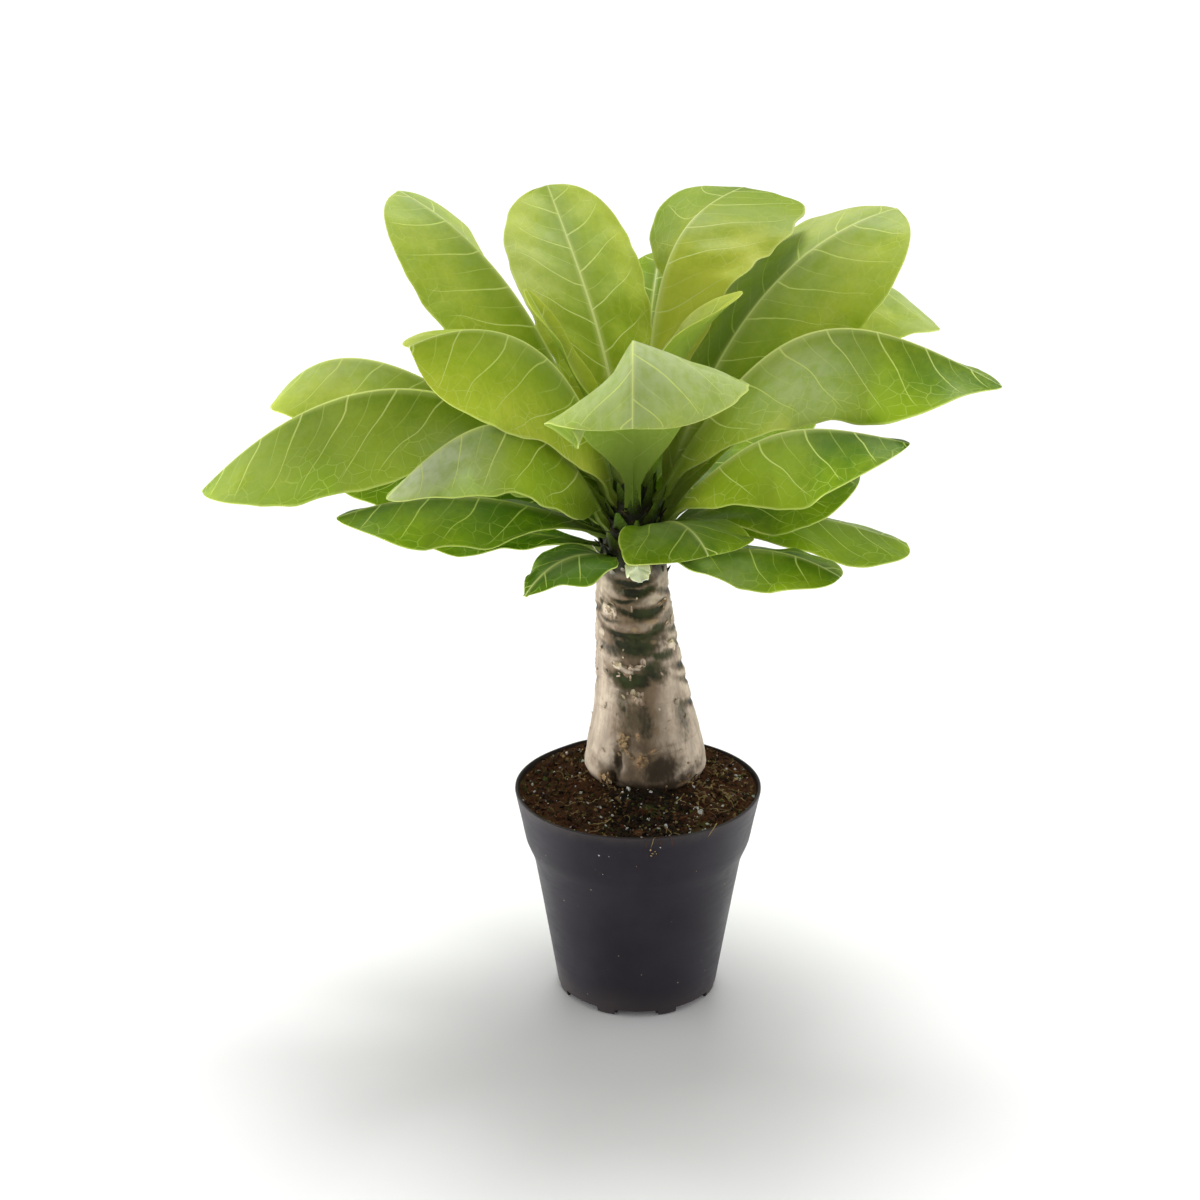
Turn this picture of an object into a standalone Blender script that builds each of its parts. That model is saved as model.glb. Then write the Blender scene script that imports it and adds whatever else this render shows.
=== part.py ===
# Potted hawaiian palm: a black plastic nursery pot, its soil, a swollen trunk and a rosette of leaves.
# Metres, +Z up. The origin is the middle of the pot's underside, and the photographed side faces -Y.

import math

import bmesh
import bpy
import numpy as np
from mathutils import Vector, noise

MM = 0.001
TAU = 2.0 * math.pi
GAP = 0.3 * MM

# The pot
POT_HEIGHT = 115.0 * MM
POT_RADIUS = 65.0 * MM
POT_BASE_RADIUS = 42.0 * MM
POT_WALL = 1.3 * MM
POT_LIP = 2.4 * MM
COLLAR_TOP_RADIUS = 64.0 * MM
COLLAR_FOOT_RADIUS = 59.4 * MM
COLLAR_FOOT = 86.0 * MM
BODY_TOP_RADIUS = 54.6 * MM
BODY_TOP = 77.0 * MM
BASE_PLATE = 3.6 * MM
POT_FLOOR = 5.4 * MM
RIM_BEVEL = 0.6 * MM
LIP_ROUND = 0.8 * MM
SHOULDER_IN = 1.6 * MM
SHOULDER_DROP = 3.4 * MM
FOOT_BEVEL = 0.5 * MM
FOOT_BEVEL_HEIGHT = 2.0 * MM
FOOT_INNER_RADIUS = 39.4 * MM
FOOT_SLOPE = 0.6 * MM
PAD_SLOPE = 1.0 * MM
CENTRE_PAD_RADIUS = 12.0 * MM
POT_SEGMENTS = 64
NOTCH_COUNT = 8
NOTCH_WIDTH = 23.0 * MM
NOTCH_HEIGHT = 3.2 * MM
NOTCH_DEPTH = 8.0 * MM
NOTCH_TAPER = 0.82
DRAIN_COUNT = 8
DRAIN_RADIUS = 3.5 * MM
DRAIN_REACH = 29.0 * MM
DRAIN_SIDES = 12

# The soil: its skin falls from the trunk to the pot's wall
SOIL_AT_TRUNK = 112.5 * MM
SOIL_AT_WALL = 110.5 * MM
SOIL_FALL = 52.0 * MM
SOIL_LUMP = 1.6 * MM
LUMP_SIZES = (9.0 * MM, 4.5 * MM)
SOIL_SEGMENTS = 40
SOIL_RINGS = 8

# The trunk: where it stands, where it leans to and over which heights, and its radius at each height
TRUNK_FOOT = Vector((4.0 * MM, 18.0 * MM))
CROWN = Vector((-3.5 * MM, 16.0 * MM))
STUB_RADIUS = 26.0 * MM
STUB_FOOT = 86.0 * MM
LEAN_FROM = 125.0 * MM
LEAN_OVER = 105.0 * MM
TRUNK_HEIGHTS = [113.5, 117.0, 122.0, 134.0, 152.0, 171.0, 197.0, 219.0, 232.0, 246.0, 258.0, 268.0, 276.0,
                 280.0]
TRUNK_RADII = [26.0, 30.0, 32.0, 30.2, 26.4, 23.3, 20.6, 18.9, 17.8, 16.0, 13.6, 10.4, 6.0, 0.0]
TRUNK_SEGMENTS = 32
TRUNK_STEP = 5.2 * MM

# The bark: rows of leaf scars above, a cleft and three bulges at the foot
SCARS_FROM = 150.0 * MM
SCARS_TO = 228.0 * MM
SCAR_PITCH = 13.0 * MM
SCAR_DEPTH = 0.9 * MM
SCAR_WIDTH = 0.16
FOOT_BULGE_HEIGHT = 118.0 * MM
FOOT_BULGE_SPREAD = 22.0 * MM
CLEFT_ANGLE = math.radians(236.0)
CLEFT_WIDTH = 0.22
CLEFT_DEPTH = 1.8 * MM
BULGE_COUNT = 3
BULGE_HEIGHT = 0.6 * MM

# A leaf's grid, and how thick it is at the root, along the midrib and at its margin
LEAF_ROWS = 12
LEAF_COLUMNS = 6
PETIOLE_HALF_WIDTH = 4.2 * MM
PETIOLE_SHARE = 0.06
ROOT_THICKNESS = 4.6 * MM
RIB_THICKNESS = 1.7 * MM
MARGIN_THICKNESS = 0.9 * MM
TIP_HALF_WIDTH = 1.2 * MM
ROOT_TAPER = 0.45
ROW_EASE = 1.35

# Shares of a leaf's length: its fold is full from the first and opens from the second to the tip,
# where the leaf's own share of it is left
FOLD_FULL = 0.5
FOLD_OPENS = 0.7
CURL_AT_ROOT = 0.3
WAVE_SHIFT = 0.15
PHASE_STEP = 0.37

# Every leaf, as it stands: azimuth of its midrib's plane from +X, height of its root, reach and height
# of its tip, the slope it starts and ends with, half width, and how its two halves fold and curl.
# Lengths in millimetres and angles in degrees. Left is the left side as seen from the trunk outwards.
LEAF_DEFAULTS = {
    "azimuth": 0.0, "root": 250.0, "tip": (150.0, 300.0), "rise": 45.0, "dip": -10.0, "pull": (0.38, 0.38),
    "sway": 0.0, "width": 32.0, "blunt": 0.42, "belly": 0.9, "roll": 0.0, "hang": 0.6,
    "fold_left": (20.0, -30.0), "fold_right": (20.0, -30.0), "curl_left": -10.0, "curl_right": -10.0,
    "tip_fold": 0.15, "wave": 1.5, "waves": 2.5,
}

LEAVES = [
    {"name": "leaf_01", "azimuth": 146, "root": 266, "tip": (149, 409), "rise": 66, "dip": 16, "width": 38,
     "hang": 0.0, "fold_left": (0, -45), "fold_right": (-40, -38), "belly": 0.65},
    {"name": "leaf_02", "azimuth": 110, "root": 270, "tip": (132, 404), "rise": 76, "dip": 36, "width": 34,
     "hang": 0.0, "roll": -14, "sway": 2, "fold_left": (14, 12), "curl_left": 0, "fold_right": (0, -12)},
    {"name": "leaf_03", "azimuth": 60, "root": 272, "tip": (115, 408), "rise": 88, "dip": 0, "width": 46,
     "hang": 0.0, "pull": (0.65, 0.5), "fold_left": (-76, -61), "curl_left": -8, "fold_right": (-60, -10),
     "tip_fold": 0.0, "blunt": 0.18},
    {"name": "leaf_04", "azimuth": 25, "root": 260, "tip": (149, 405), "rise": 74, "dip": 8, "width": 45,
     "hang": 0.0, "fold_left": (12, 0), "fold_right": (-70, -55)},
    {"name": "leaf_05", "azimuth": -7, "root": 277, "tip": (54, 378), "rise": 84, "dip": 40, "width": 16,
     "hang": 0.0, "fold_left": (60, 40), "fold_right": (60, 40)},
    {"name": "leaf_06", "azimuth": 150, "root": 276, "tip": (64, 370), "rise": 72, "dip": 55, "width": 5,
     "hang": 0.0, "fold_left": (60, 50), "fold_right": (60, 50)},
    {"name": "leaf_07", "azimuth": 36, "root": 252, "tip": (190, 337), "rise": 58, "dip": -50, "width": 34,
     "pull": (0.5, 0.4), "fold_left": (-30, -30), "fold_right": (-40, -50), "blunt": 0.25},
    {"name": "leaf_08", "azimuth": -6, "root": 268, "tip": (183, 334), "rise": 63, "dip": -28, "width": 44,
     "pull": (0.68, 0.5), "fold_left": (-60, -50), "fold_right": (-50, -70), "tip_fold": -0.1, "blunt": 0.6},
    {"name": "leaf_09", "azimuth": -18, "root": 256, "tip": (142, 312), "rise": 52, "dip": -8, "width": 36,
     "pull": (0.55, 0.45), "fold_left": (-30, -40), "fold_right": (-10, -60), "blunt": 0.6},
    {"name": "leaf_10", "azimuth": 8, "root": 250, "tip": (117, 280), "rise": 25, "dip": 0, "width": 30},
    {"name": "leaf_11", "azimuth": 14, "root": 244, "tip": (149, 232), "rise": 28, "dip": -22, "width": 29,
     "fold_left": (5, -10), "fold_right": (12, -22)},
    {"name": "leaf_12", "azimuth": -24, "root": 238, "tip": (113, 243), "rise": 20, "dip": -25, "width": 23,
     "fold_left": (0, -12), "fold_right": (10, -30), "belly": 0.7},
    {"name": "leaf_13", "azimuth": -58, "root": 252, "tip": (70, 259), "rise": 64, "dip": -45, "width": 36,
     "hang": 0.3, "fold_left": (8, -10), "fold_right": (20, -10)},
    {"name": "leaf_14", "azimuth": 228, "root": 240, "tip": (79, 237), "rise": 30, "dip": -40, "width": 18,
     "fold_left": (20, -15), "fold_right": (20, -10), "belly": 0.6, "blunt": 1.1},
    {"name": "leaf_15", "azimuth": 190, "root": 250, "tip": (151, 266), "rise": 30, "dip": -18, "width": 26,
     "fold_left": (10, -45), "blunt": 0.6},
    {"name": "leaf_16", "azimuth": 208, "root": 258, "tip": (135, 289), "rise": 66, "dip": -42, "width": 32,
     "pull": (0.7, 0.5), "fold_left": (-62, -60), "fold_right": (-70, -80), "belly": 0.5, "blunt": 0.6},
    {"name": "leaf_17", "azimuth": 182, "root": 264, "tip": (219, 274), "rise": 52, "dip": -46, "width": 45,
     "pull": (0.5, 0.5), "fold_left": (-60, -70), "fold_right": (-60, -80), "belly": 1.1, "blunt": 0.6},
    {"name": "leaf_18", "azimuth": 157, "root": 258, "tip": (207, 298), "rise": 36, "dip": -52, "width": 36,
     "pull": (0.5, 0.35), "fold_left": (-40, -55), "fold_right": (-40, -50)},
    {"name": "leaf_19", "azimuth": 204, "root": 270, "tip": (118, 361), "rise": 80, "dip": -20, "width": 44,
     "pull": (0.47, 0.45), "fold_left": (-50, -72), "fold_right": (-40, -12), "tip_fold": 0.7, "blunt": 0.38},
    {"name": "leaf_20", "azimuth": -90, "root": 268, "tip": (98, 336), "rise": 84, "dip": -60, "width": 57,
     "hang": 0.4, "pull": (0.9, 0.65), "fold_left": (0, -17), "fold_right": (0, -57)},
    {"name": "leaf_21", "azimuth": 168, "root": 240, "tip": (122, 240), "rise": 12, "dip": -10, "width": 14},
    {"name": "leaf_22", "azimuth": 155, "root": 246, "tip": (173, 258), "rise": 25, "dip": -20, "width": 28,
     "fold_left": (0, -40)},
    {"name": "leaf_23", "azimuth": 92, "root": 248, "tip": (182, 288), "rise": 38, "dip": -24, "width": 38},
    {"name": "leaf_24", "azimuth": 76, "root": 240, "tip": (165, 238), "rise": 20, "dip": -24, "width": 32},
    {"name": "leaf_25", "azimuth": 124, "root": 258, "tip": (150, 325), "rise": 48, "dip": -10, "width": 30,
     "fold_left": (-30, -40), "fold_right": (-30, -40)},
    {"name": "leaf_26", "azimuth": -84, "root": 240, "tip": (38, 237), "rise": 20, "dip": -50, "width": 4.0,
     "blunt": 0.5},
    {"name": "leaf_27", "azimuth": 84, "root": 262, "tip": (132, 366), "rise": 60, "dip": 20, "width": 22,
     "hang": 0.0},
    {"name": "leaf_28", "azimuth": 60, "root": 246, "tip": (172, 276), "rise": 28, "dip": -22, "width": 34},
    {"name": "leaf_29", "azimuth": 122, "root": 242, "tip": (165, 246), "rise": 24, "dip": -24, "width": 32},
]


def clear_scene():
    for item in list(bpy.data.objects):
        bpy.data.objects.remove(item, do_unlink=True)


def make_collection(name):
    collection = bpy.data.collections.new(name)
    bpy.context.scene.collection.children.link(collection)
    return collection


def make_material(name, colour, roughness, metallic=0.0):
    material = bpy.data.materials.new(name)
    material.use_nodes = True
    shader = material.node_tree.nodes["Principled BSDF"]
    shader.inputs["Base Color"].default_value = (*colour, 1.0)
    shader.inputs["Roughness"].default_value = roughness
    shader.inputs["Metallic"].default_value = metallic
    material.diffuse_color = (*colour, 1.0)
    return material


def new_object(name, mesh, collection, material=None):
    item = bpy.data.objects.new(name, mesh)
    collection.objects.link(item)
    if material:
        mesh.materials.append(material)
    return item


def baked_copy(item):
    # The evaluated shape of an object as a plain mesh of its own
    graph = bpy.context.evaluated_depsgraph_get()
    return bpy.data.meshes.new_from_object(item.evaluated_get(graph))


# Turns a profile of (radius, height) points round the Z axis; the profile runs down the outer side
def turned_mesh(profile, segments):
    points = [(radius, 0.0, height) for radius, height in profile]
    edges = [(i, i + 1) for i in range(len(points) - 1)]
    outline = bpy.data.meshes.new("outline")
    outline.from_pydata(points, edges, [])
    holder = bpy.data.objects.new("holder", outline)
    bpy.context.scene.collection.objects.link(holder)
    screw = holder.modifiers.new("turn", "SCREW")
    screw.steps = segments
    screw.render_steps = segments
    screw.use_merge_vertices = True
    screw.merge_threshold = 0.00005
    mesh = baked_copy(holder)
    bpy.data.objects.remove(holder, do_unlink=True)
    return mesh


def subtract(item, cutter):
    cut = item.modifiers.new("cut", "BOOLEAN")
    cut.operation = "DIFFERENCE"
    cut.solver = "EXACT"
    cut.object = cutter
    cutter.hide_render = True
    cutter.display_type = "WIRE"


def smooth(item, angle=40.0):
    item.data.shade_smooth()
    item.data.set_sharp_from_angle(angle=math.radians(angle))


# The pot

def body_radius(height):
    share = height / BODY_TOP
    return POT_BASE_RADIUS + (BODY_TOP_RADIUS - POT_BASE_RADIUS) * share


def pot_profile():
    inside = [
        (0.0, POT_FLOOR),
        (body_radius(POT_FLOOR) - POT_WALL, POT_FLOOR),
        (BODY_TOP_RADIUS - POT_WALL, BODY_TOP + LIP_ROUND),
        (COLLAR_FOOT_RADIUS - POT_WALL, COLLAR_FOOT + LIP_ROUND),
        (COLLAR_TOP_RADIUS - POT_WALL, POT_HEIGHT - RIM_BEVEL),
        (COLLAR_TOP_RADIUS - POT_WALL + RIM_BEVEL, POT_HEIGHT),
    ]
    outside = [
        (POT_RADIUS - RIM_BEVEL, POT_HEIGHT),
        (POT_RADIUS, POT_HEIGHT - RIM_BEVEL),
        (POT_RADIUS, POT_HEIGHT - POT_LIP),
        (COLLAR_TOP_RADIUS, POT_HEIGHT - POT_LIP - LIP_ROUND),
        (COLLAR_FOOT_RADIUS, COLLAR_FOOT),
        (COLLAR_FOOT_RADIUS - SHOULDER_IN, COLLAR_FOOT - SHOULDER_DROP),
        (BODY_TOP_RADIUS, BODY_TOP),
        (body_radius(FOOT_BEVEL_HEIGHT), FOOT_BEVEL_HEIGHT),
        (POT_BASE_RADIUS - FOOT_BEVEL, 0.0),
        (FOOT_INNER_RADIUS, 0.0),
        (FOOT_INNER_RADIUS - FOOT_SLOPE, BASE_PLATE),
        (CENTRE_PAD_RADIUS + PAD_SLOPE, BASE_PLATE),
        (CENTRE_PAD_RADIUS, 0.0),
        (0.0, 0.0),
    ]
    return inside + outside


# One cutter for the notches between the feet and the drain holes in the base plate
def pot_cutter(collection):
    cutter = bmesh.new()
    for i in range(NOTCH_COUNT):
        angle = TAU * i / NOTCH_COUNT
        middle = Vector((math.cos(angle), math.sin(angle), 0.0)) * POT_BASE_RADIUS
        block = bmesh.ops.create_cube(cutter, size=1.0)["verts"]
        for vert in block:
            top = vert.co.z > 0.0
            along = vert.co.x * NOTCH_DEPTH
            side = vert.co.y * NOTCH_WIDTH * (NOTCH_TAPER if top else 1.0)
            height = NOTCH_HEIGHT if top else -NOTCH_HEIGHT
            vert.co = middle + Vector((
                along * math.cos(angle) - side * math.sin(angle),
                along * math.sin(angle) + side * math.cos(angle),
                height))
    for i in range(DRAIN_COUNT):
        angle = TAU * (i + 0.5) / DRAIN_COUNT
        drill = bmesh.ops.create_cone(
            cutter, cap_ends=True, segments=DRAIN_SIDES, radius1=DRAIN_RADIUS, radius2=DRAIN_RADIUS,
            depth=2.0 * POT_FLOOR)
        centre = Vector((math.cos(angle) * DRAIN_REACH, math.sin(angle) * DRAIN_REACH, BASE_PLATE))
        bmesh.ops.translate(cutter, verts=drill["verts"], vec=centre)
    mesh = bpy.data.meshes.new("pot_cutter")
    cutter.to_mesh(mesh)
    cutter.free()
    return new_object("pot_cutter", mesh, collection)


def make_pot(collection, cutters):
    plastic = make_material("pot_plastic", (0.030, 0.028, 0.034), 0.42)
    pot = new_object("pot", turned_mesh(pot_profile(), POT_SEGMENTS), collection, plastic)
    subtract(pot, pot_cutter(cutters))
    smooth(pot)
    return pot


# The soil

def soil_height(x, y):
    from_trunk = math.hypot(x - TRUNK_FOOT.x, y - TRUNK_FOOT.y)
    share = min(1.0, max(0.0, (from_trunk - STUB_RADIUS - 2.0 * MM) / SOIL_FALL))
    coarse, fine = (noise.noise(Vector((x, y, size)) / size) for size in LUMP_SIZES)
    lift = SOIL_LUMP * (coarse + 0.6 * fine) * min(1.0, share * 6.0)
    return SOIL_AT_TRUNK + (SOIL_AT_WALL - SOIL_AT_TRUNK) * share + lift


def soil_profile():
    floor = POT_FLOOR + GAP
    wall = POT_WALL + 1.5 * GAP
    slope = (COLLAR_TOP_RADIUS - COLLAR_FOOT_RADIUS) / (POT_HEIGHT - COLLAR_FOOT)
    top_radius = COLLAR_FOOT_RADIUS + slope * (SOIL_AT_WALL - COLLAR_FOOT) - wall
    skin = [(top_radius * i / SOIL_RINGS, SOIL_AT_WALL) for i in range(SOIL_RINGS + 1)]
    side = [
        (COLLAR_FOOT_RADIUS - wall, COLLAR_FOOT + LIP_ROUND),
        (BODY_TOP_RADIUS - wall, BODY_TOP + LIP_ROUND),
        (body_radius(floor) - wall, floor),
        (0.0, floor),
    ]
    return skin + side


def make_soil(collection, cutters):
    peat = make_material("soil_peat", (0.045, 0.028, 0.018), 0.95)
    mesh = turned_mesh(soil_profile(), SOIL_SEGMENTS)
    for vert in mesh.vertices:
        if vert.co.z > SOIL_AT_WALL - 0.1 * MM:
            vert.co.z = soil_height(vert.co.x, vert.co.y)
    soil = new_object("soil", mesh, collection, peat)
    hole = bmesh.new()
    radius = STUB_RADIUS + 1.5 * GAP
    depth = POT_HEIGHT - STUB_FOOT
    bmesh.ops.create_cone(
        hole, cap_ends=True, segments=TRUNK_SEGMENTS, depth=depth, radius1=radius, radius2=radius)
    middle = Vector((TRUNK_FOOT.x, TRUNK_FOOT.y, STUB_FOOT - GAP + 0.5 * depth))
    bmesh.ops.translate(hole, verts=hole.verts, vec=middle)
    mesh = bpy.data.meshes.new("trunk_hole")
    hole.to_mesh(mesh)
    hole.free()
    subtract(soil, new_object("trunk_hole", mesh, cutters))
    smooth(soil, 60.0)
    return soil


# The trunk

def trunk_radius(height):
    heights = [value * MM for value in TRUNK_HEIGHTS]
    radii = [value * MM for value in TRUNK_RADII]
    return float(np.interp(height, heights, radii))


def trunk_centre(height):
    share = min(1.0, max(0.0, (height - LEAN_FROM) / LEAN_OVER))
    eased = share * share * (3.0 - 2.0 * share)
    return TRUNK_FOOT.lerp(CROWN, eased)


# How deep the bark lies at a height and angle: shallow crescents in rows, the cleft and the bulges
def bark_relief(height, angle):
    depth = 0.0
    if SCARS_FROM < height < SCARS_TO:
        row = (height - SCARS_FROM) / SCAR_PITCH
        level = math.floor(row)
        turn = angle * 2.5 + level * 2.4
        arc = row - level - 0.18 * math.cos(turn) - 0.5
        depth += SCAR_DEPTH * math.exp(-(arc / SCAR_WIDTH) ** 2) * (0.6 + 0.4 * math.cos(turn))
    fade = math.exp(-((height - FOOT_BULGE_HEIGHT) / FOOT_BULGE_SPREAD) ** 2)
    turn = math.remainder(angle - CLEFT_ANGLE, TAU)
    depth += CLEFT_DEPTH * fade * math.exp(-(turn / CLEFT_WIDTH) ** 2)
    depth += BULGE_HEIGHT * fade * math.cos(BULGE_COUNT * angle + 0.6)
    return depth


def make_trunk(collection):
    bark = make_material("trunk_bark", (0.44, 0.36, 0.27), 0.7)
    top = TRUNK_HEIGHTS[-1] * MM
    low = TRUNK_HEIGHTS[0] * MM
    rise = [low + TRUNK_STEP * i for i in range(1, int((top - low) / TRUNK_STEP) + 1)]
    profile = [(0.0, top)]
    for height in reversed(rise):
        if trunk_radius(height) > 2.0 * MM:
            profile.append((trunk_radius(height), height))
    profile += [(STUB_RADIUS, low), (STUB_RADIUS, STUB_FOOT), (0.0, STUB_FOOT)]
    mesh = turned_mesh(profile, TRUNK_SEGMENTS)
    for vert in mesh.vertices:
        angle = math.atan2(vert.co.y, vert.co.x)
        radius = math.hypot(vert.co.x, vert.co.y)
        if vert.co.z > low + 1.0 * MM and radius > 1.0 * MM:
            radius -= bark_relief(vert.co.z, angle)
        centre = trunk_centre(vert.co.z)
        vert.co.x = centre.x + radius * math.cos(angle)
        vert.co.y = centre.y + radius * math.sin(angle)
    trunk = new_object("trunk", mesh, collection, bark)
    smooth(trunk, 60.0)
    return trunk


# The leaves

def leaf_values(leaf):
    values = dict(LEAF_DEFAULTS)
    values.update(leaf)
    values["phase"] = PHASE_STEP * int(leaf["name"][-2:])
    return values


def between(pair, share):
    return pair[0] + (pair[1] - pair[0]) * share


# A point of the midrib and its direction, in the leaf's own upright plane
def midrib(leaf, share):
    rise, dip = math.radians(leaf["rise"]), math.radians(leaf["dip"])
    half_root = 0.5 * ROOT_THICKNESS
    stem = trunk_radius(leaf["root"] * MM - half_root * math.cos(rise))
    start = np.array([(stem + half_root * math.sin(rise) + 2.0 * GAP) / MM, leaf["root"]])
    end = np.array(leaf["tip"], dtype=float)
    chord = np.linalg.norm(end - start)
    first = start + leaf["pull"][0] * chord * np.array([math.cos(rise), math.sin(rise)])
    last = end - leaf["pull"][1] * chord * np.array([math.cos(dip), math.sin(dip)])
    rest = 1.0 - share
    point = start * rest**3 + 3 * first * rest**2 * share + 3 * last * rest * share**2 + end * share**3
    slope = 3 * (first - start) * rest**2 + 6 * (last - first) * rest * share + 3 * (end - last) * share**2
    return point, slope / np.linalg.norm(slope)


# Obovate outline: narrow along the petiole, then soon broad, and more or less blunt at the tip
def half_width(leaf, share):
    grown = max(0.0, (share - PETIOLE_SHARE) / (1.0 - PETIOLE_SHARE))
    widest = leaf["belly"] / (leaf["belly"] + leaf["blunt"])
    blade = (grown / widest) ** leaf["belly"] * ((1.0 - grown) / (1.0 - widest)) ** leaf["blunt"]
    petiole = PETIOLE_HALF_WIDTH / MM * (1.0 - share) ** 0.5
    return max(TIP_HALF_WIDTH / MM, leaf["width"] * blade + petiole)


# How far a half is folded: the fold comes in along the blade and opens again at the tip
def fold_angle(pair, tip_fold, share):
    opened = min(1.0, max(0.0, (share - FOLD_OPENS) / (1.0 - FOLD_OPENS)))
    return math.radians(between(pair, min(1.0, share / FOLD_FULL)) * between((1.0, tip_fold), opened))


# One half of the blade's section: it leaves the midrib at the fold's angle and bends evenly by the curl's
def section(fold, curl, width, across):
    if abs(curl) < 0.01:
        return width * across * math.cos(fold), width * across * math.sin(fold)
    turned = fold + curl * across
    out = width / curl * (math.sin(turned) - math.sin(fold))
    up = width / curl * (math.cos(fold) - math.cos(turned))
    return out, up


def blade_point(leaf, share, across):
    point, slope = midrib(leaf, share)
    azimuth = math.radians(leaf["azimuth"])
    outward = np.array([math.cos(azimuth), math.sin(azimuth), 0.0])
    left = np.array([-math.sin(azimuth), math.cos(azimuth), 0.0])
    upward = np.array([0.0, 0.0, 1.0])
    along = outward * slope[0] + upward * slope[1]
    normal = np.cross(along, left)
    roll = math.radians(leaf["roll"]) * share
    side = left * math.cos(roll) + normal * math.sin(roll)
    face = normal * math.cos(roll) - left * math.sin(roll)
    face = face * (1.0 - leaf["hang"]) + upward * leaf["hang"]
    face = face / np.linalg.norm(face)
    which, hand = ("left", 1.0) if across >= 0.0 else ("right", -1.0)
    fold = fold_angle(leaf["fold_" + which], leaf["tip_fold"], share)
    curl = math.radians(leaf["curl_" + which]) * min(1.0, CURL_AT_ROOT + share)
    out, up = section(fold, curl, half_width(leaf, share), abs(across))
    ripple = math.sin(TAU * (leaf["waves"] * share + leaf["phase"] + WAVE_SHIFT * hand))
    up += leaf["wave"] * ripple * across**2 * 4.0 * share * (1.0 - share)
    spot = outward * point[0] + upward * point[1] + left * leaf["sway"] * share**2
    spot = spot + side * hand * out + face * up
    return Vector(spot * MM) + Vector((CROWN.x, CROWN.y, 0.0))


# Where a leaf's rows lie along it: closer towards the tip, so that its end is round
def row_share(row):
    return 1.0 - (1.0 - row / LEAF_ROWS) ** ROW_EASE


def leaf_thickness(share, across):
    rib = max(RIB_THICKNESS, ROOT_THICKNESS * (1.0 - share / ROOT_TAPER)) * (1.0 - 0.35 * share)
    edge = MARGIN_THICKNESS + (rib - MARGIN_THICKNESS) * 0.35 * max(0.0, 1.0 - 3.0 * share)
    return edge + (rib - edge) * (1.0 - abs(across)) ** 3


def make_leaf(values, collection, material):
    leaf = leaf_values(values)
    grid = bmesh.new()
    bmesh.ops.create_grid(grid, x_segments=LEAF_ROWS, y_segments=LEAF_COLUMNS, size=1.0)
    weights = []
    for vert in grid.verts:
        share = row_share(round((vert.co.x + 1.0) / 2.0 * LEAF_ROWS))
        across = round(vert.co.y * LEAF_COLUMNS / 2.0) / (LEAF_COLUMNS / 2.0)
        weights.append(leaf_thickness(share, across) / ROOT_THICKNESS)
        vert.co = blade_point(leaf, share, across)
    bmesh.ops.triangulate(grid, faces=grid.faces, quad_method="SHORT_EDGE")
    mesh = bpy.data.meshes.new(leaf["name"])
    grid.to_mesh(mesh)
    grid.free()
    item = new_object(leaf["name"], mesh, collection, material)
    group = item.vertex_groups.new(name="thickness")
    for index, weight in enumerate(weights):
        group.add([index], weight, "REPLACE")
    shell = item.modifiers.new("thickness", "SOLIDIFY")
    shell.thickness = ROOT_THICKNESS
    shell.offset = 0.0
    shell.vertex_group = "thickness"
    shell.thickness_vertex_group = 0.0
    smooth(item, 60.0)
    return item


def make_leaves(collection):
    green = make_material("leaf_green", (0.24, 0.42, 0.05), 0.45)
    for values in LEAVES:
        make_leaf(values, collection, green)


def main():
    clear_scene()
    plant = make_collection("potted_hawaiian_palm")
    cutters = make_collection("cutters")
    make_pot(plant, cutters)
    make_soil(plant, cutters)
    make_trunk(plant)
    make_leaves(plant)


main()
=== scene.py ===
import math
import random

import bmesh
import bpy
from mathutils import Matrix, Vector, noise


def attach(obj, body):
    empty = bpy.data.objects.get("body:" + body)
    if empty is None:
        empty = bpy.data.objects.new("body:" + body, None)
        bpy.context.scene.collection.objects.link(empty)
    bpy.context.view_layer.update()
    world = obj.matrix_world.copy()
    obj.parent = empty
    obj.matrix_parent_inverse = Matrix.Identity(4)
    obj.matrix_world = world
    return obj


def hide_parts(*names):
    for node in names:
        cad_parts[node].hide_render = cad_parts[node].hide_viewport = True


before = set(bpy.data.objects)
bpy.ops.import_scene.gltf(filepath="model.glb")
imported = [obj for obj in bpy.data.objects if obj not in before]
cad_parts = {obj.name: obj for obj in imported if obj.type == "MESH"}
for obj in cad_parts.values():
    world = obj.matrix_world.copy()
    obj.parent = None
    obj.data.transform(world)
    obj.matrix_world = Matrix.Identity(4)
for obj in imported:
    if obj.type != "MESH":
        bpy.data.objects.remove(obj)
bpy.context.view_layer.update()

# Potted hawaiian palm. Metres, +Z up, the photographed side faces -Y.
mm = 0.001
fullTurn = 2.0 * math.pi
trunkFoot = Vector((4.0 * mm, 18.0 * mm))
crownSpot = Vector((-3.5 * mm, 16.0 * mm))


# ---- small helpers for selecting, spinning and finishing pieces
def clearSelection():
    if bpy.context.object and bpy.context.object.mode != "OBJECT":
        bpy.ops.object.mode_set(mode="OBJECT")
    bpy.ops.object.select_all(action="DESELECT")


def pick(piece):
    clearSelection()
    piece.select_set(True)
    bpy.context.view_layer.objects.active = piece
    return piece


def applyAll(piece):
    pick(piece)
    for modifier in list(piece.modifiers):
        bpy.ops.object.modifier_apply(modifier=modifier.name)


def smoothBy(piece, degrees):
    pick(piece)
    bpy.ops.object.shade_smooth_by_angle(angle=math.radians(degrees))


# A finished piece sits at the origin with its place in its mesh, and rides with the plant
def settle(piece, slotName, *nodes):
    pick(piece)
    bpy.ops.object.transform_apply(location=True, rotation=True, scale=True)
    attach(piece, "root")
    if nodes:
        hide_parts(*nodes)
    return piece


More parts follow.
